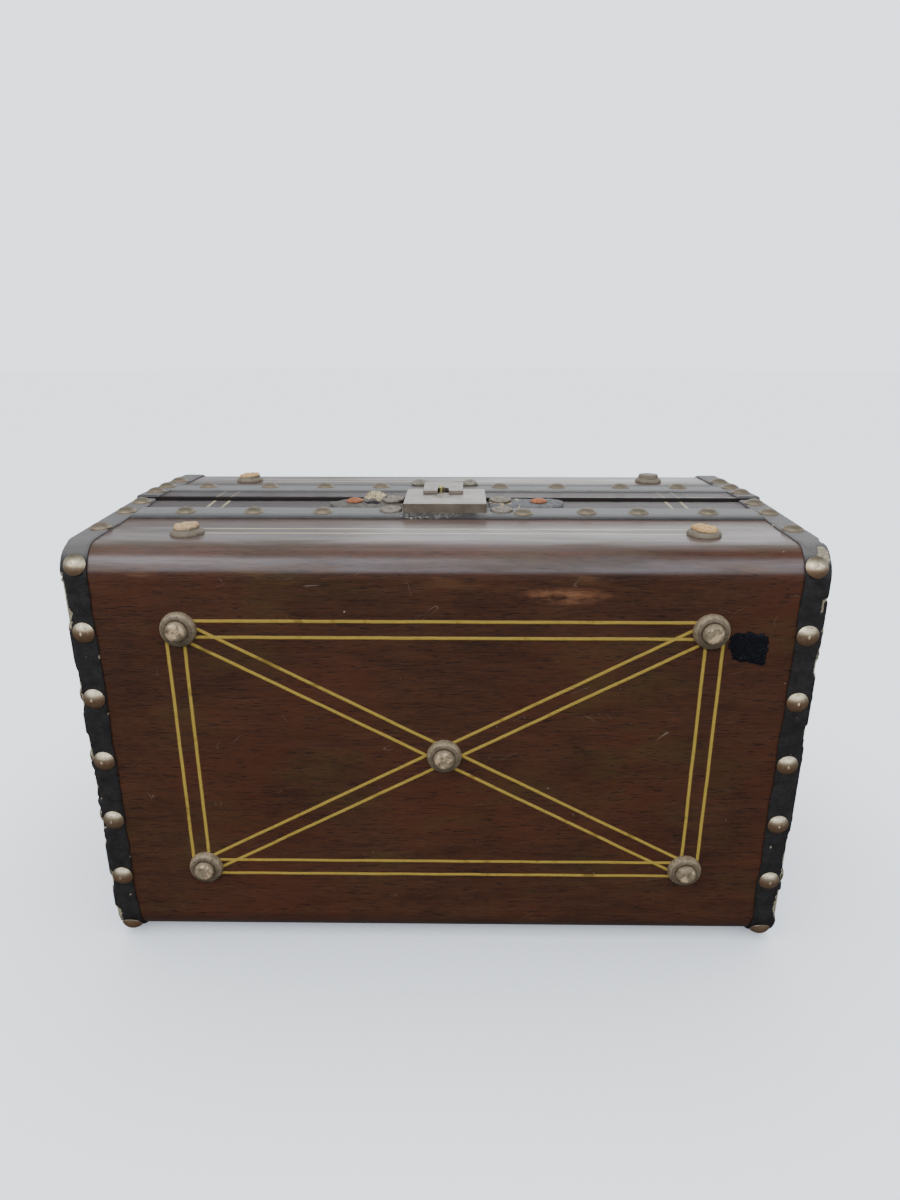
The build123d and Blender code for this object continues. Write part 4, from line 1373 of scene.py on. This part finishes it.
def surroundings(look):
    """Pale all round to the eye; as light, an open sky in front above a low horizon, a pale wall behind
    and little from overhead, as under the eaves of a house."""
    world = bpy.data.worlds.new("surroundings")
    g = Nodes(world)
    _, y, z = g.parts(g.node("ShaderNodeTexCoord", out="Generated"))
    wall = y.above(-0.05, 0.35)
    open_sky = y.above(-0.05, -0.45) * z.above(0.14, 0.26) * z.above(0.90, 0.74)
    light = look.low_light * (0.45 + 0.55 * z.above(-0.1, 0.1))
    light = light + look.back_light * wall * z.above(-0.3, 0.1) + look.front_light * open_sky
    seen = g.node("ShaderNodeLightPath", out="Is Camera Ray")
    background = g.tree.nodes["Background"]
    background.inputs["Color"].default_value = (*look.sky, 1.0)
    g.feed(background.inputs["Strength"], seen * look.sky_strength + (1 - seen) * light)
    return world


class CASE_OT_stage(bpy.types.Operator):
    """Sets the floor, the soft lights, the surroundings and the camera."""

    bl_idname = "case.stage"
    bl_label = "Stage"

    def execute(self, context):
        look = context.scene.case_stage
        self.lay_floor(look)
        self.hang_lights()
        context.scene.world = surroundings(look)
        self.place_camera(context.scene, look)
        return {"FINISHED"}

    def lay_floor(self, look):
        """A flat round floor: rings of points round the origin, each a few times as far as the last."""
        reach = np.array((0.02, 0.3, 0.8, 2.0, 6.0))[:, None]
        angle = np.linspace(0, 2 * math.pi, 97)[None, :-1]
        height = 0 * reach * angle - FLOOR_DROP
        place = (np.zeros(3), np.array((0, 0, 1.0)), np.array((1.0, 0, 0)))
        points, faces = turned_grid(reach + 0 * angle, height, place, angle.shape[1])
        faces = faces[: -angle.shape[1]]
        floor = mesh_object("floor", points[:-1], faces, {})
        floor.data.materials.append(floor_surface(look))
        floor.visible_shadow = False
        floor.visible_diffuse = False
        floor.visible_glossy = False
        floor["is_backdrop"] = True

    def hang_lights(self):
        lights = (
            ("overhead", (-0.2, -0.35, 1.6), (0, 0, 0.1), 1.4, 7),
            ("front_left", (-1.0, -1.1, 1.5), (0, 0, 0.1), 1.0, 6),
            ("behind", (0.4, 1.5, 1.0), (0, 0, 0.2), 1.6, 6),
        )
        for name, place, target, size, power in lights:
            lamp = bpy.data.lights.new(name, "AREA")
            lamp.shape = "DISK"
            lamp.size = size
            lamp.energy = power
            made = bpy.data.objects.new(name, lamp)
            bpy.context.scene.collection.objects.link(made)
            made.location = place
            made.rotation_euler = (Vector(target) - Vector(place)).to_track_quat("-Z", "Y").to_euler()

    def place_camera(self, scene, look):
        data = bpy.data.cameras.new("camera")
        data.sensor_width = 36
        data.lens = look.lens
        data.clip_start = 0.01
        camera = bpy.data.objects.new("camera", data)
        scene.collection.objects.link(camera)
        turn = Matrix.Rotation(look.turn, 4, "Z")
        tilt = Matrix.Rotation(math.pi / 2 - look.tilt, 4, "X")
        camera.matrix_world = Matrix.Translation(look.eye) @ turn @ tilt
        scene.camera = camera


class CASE_PT_panel(bpy.types.Panel):
    """Lists the pieces of the case."""

    bl_idname = "CASE_PT_panel"
    bl_label = "Travel case"
    bl_space_type = "VIEW_3D"
    bl_region_type = "UI"
    bl_category = "Case"

    def draw(self, context):
        for operator in PIECES:
            self.layout.operator(operator.bl_idname)


PIECES = (
    CASE_OT_stage,
    CASE_OT_boards,
    CASE_OT_inside,
    CASE_OT_bindings,
    CASE_OT_straps,
    CASE_OT_nails,
    CASE_OT_rivets,
    CASE_OT_bosses,
    CASE_OT_tabs,
    CASE_OT_lock,
    CASE_OT_hinges,
    CASE_OT_felt,
)
SETTINGS = {
    "case_boards": CaseBoards,
    "case_leather": CaseLeather,
    "case_metal": CaseMetal,
    "case_stage": CaseStage,
}


def register():
    for kind in (*SETTINGS.values(), *PIECES, CASE_PT_panel):
        bpy.utils.register_class(kind)
    for name, kind in SETTINGS.items():
        setattr(bpy.types.Scene, name, bpy.props.PointerProperty(type=kind))


def unregister():
    for name in SETTINGS:
        delattr(bpy.types.Scene, name)
    for kind in (*SETTINGS.values(), *PIECES, CASE_PT_panel):
        bpy.utils.unregister_class(kind)


def main():
    """Makes every piece in order."""
    register()
    for operator in PIECES:
        getattr(bpy.ops.case, operator.bl_idname.split(".")[1])()
    boxes = {"cad": CAD_BOX, "visual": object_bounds()}
    sizes = {name: [list(corner) for corner in box] for name, box in boxes.items()}


if __name__ == "__main__":
    main()
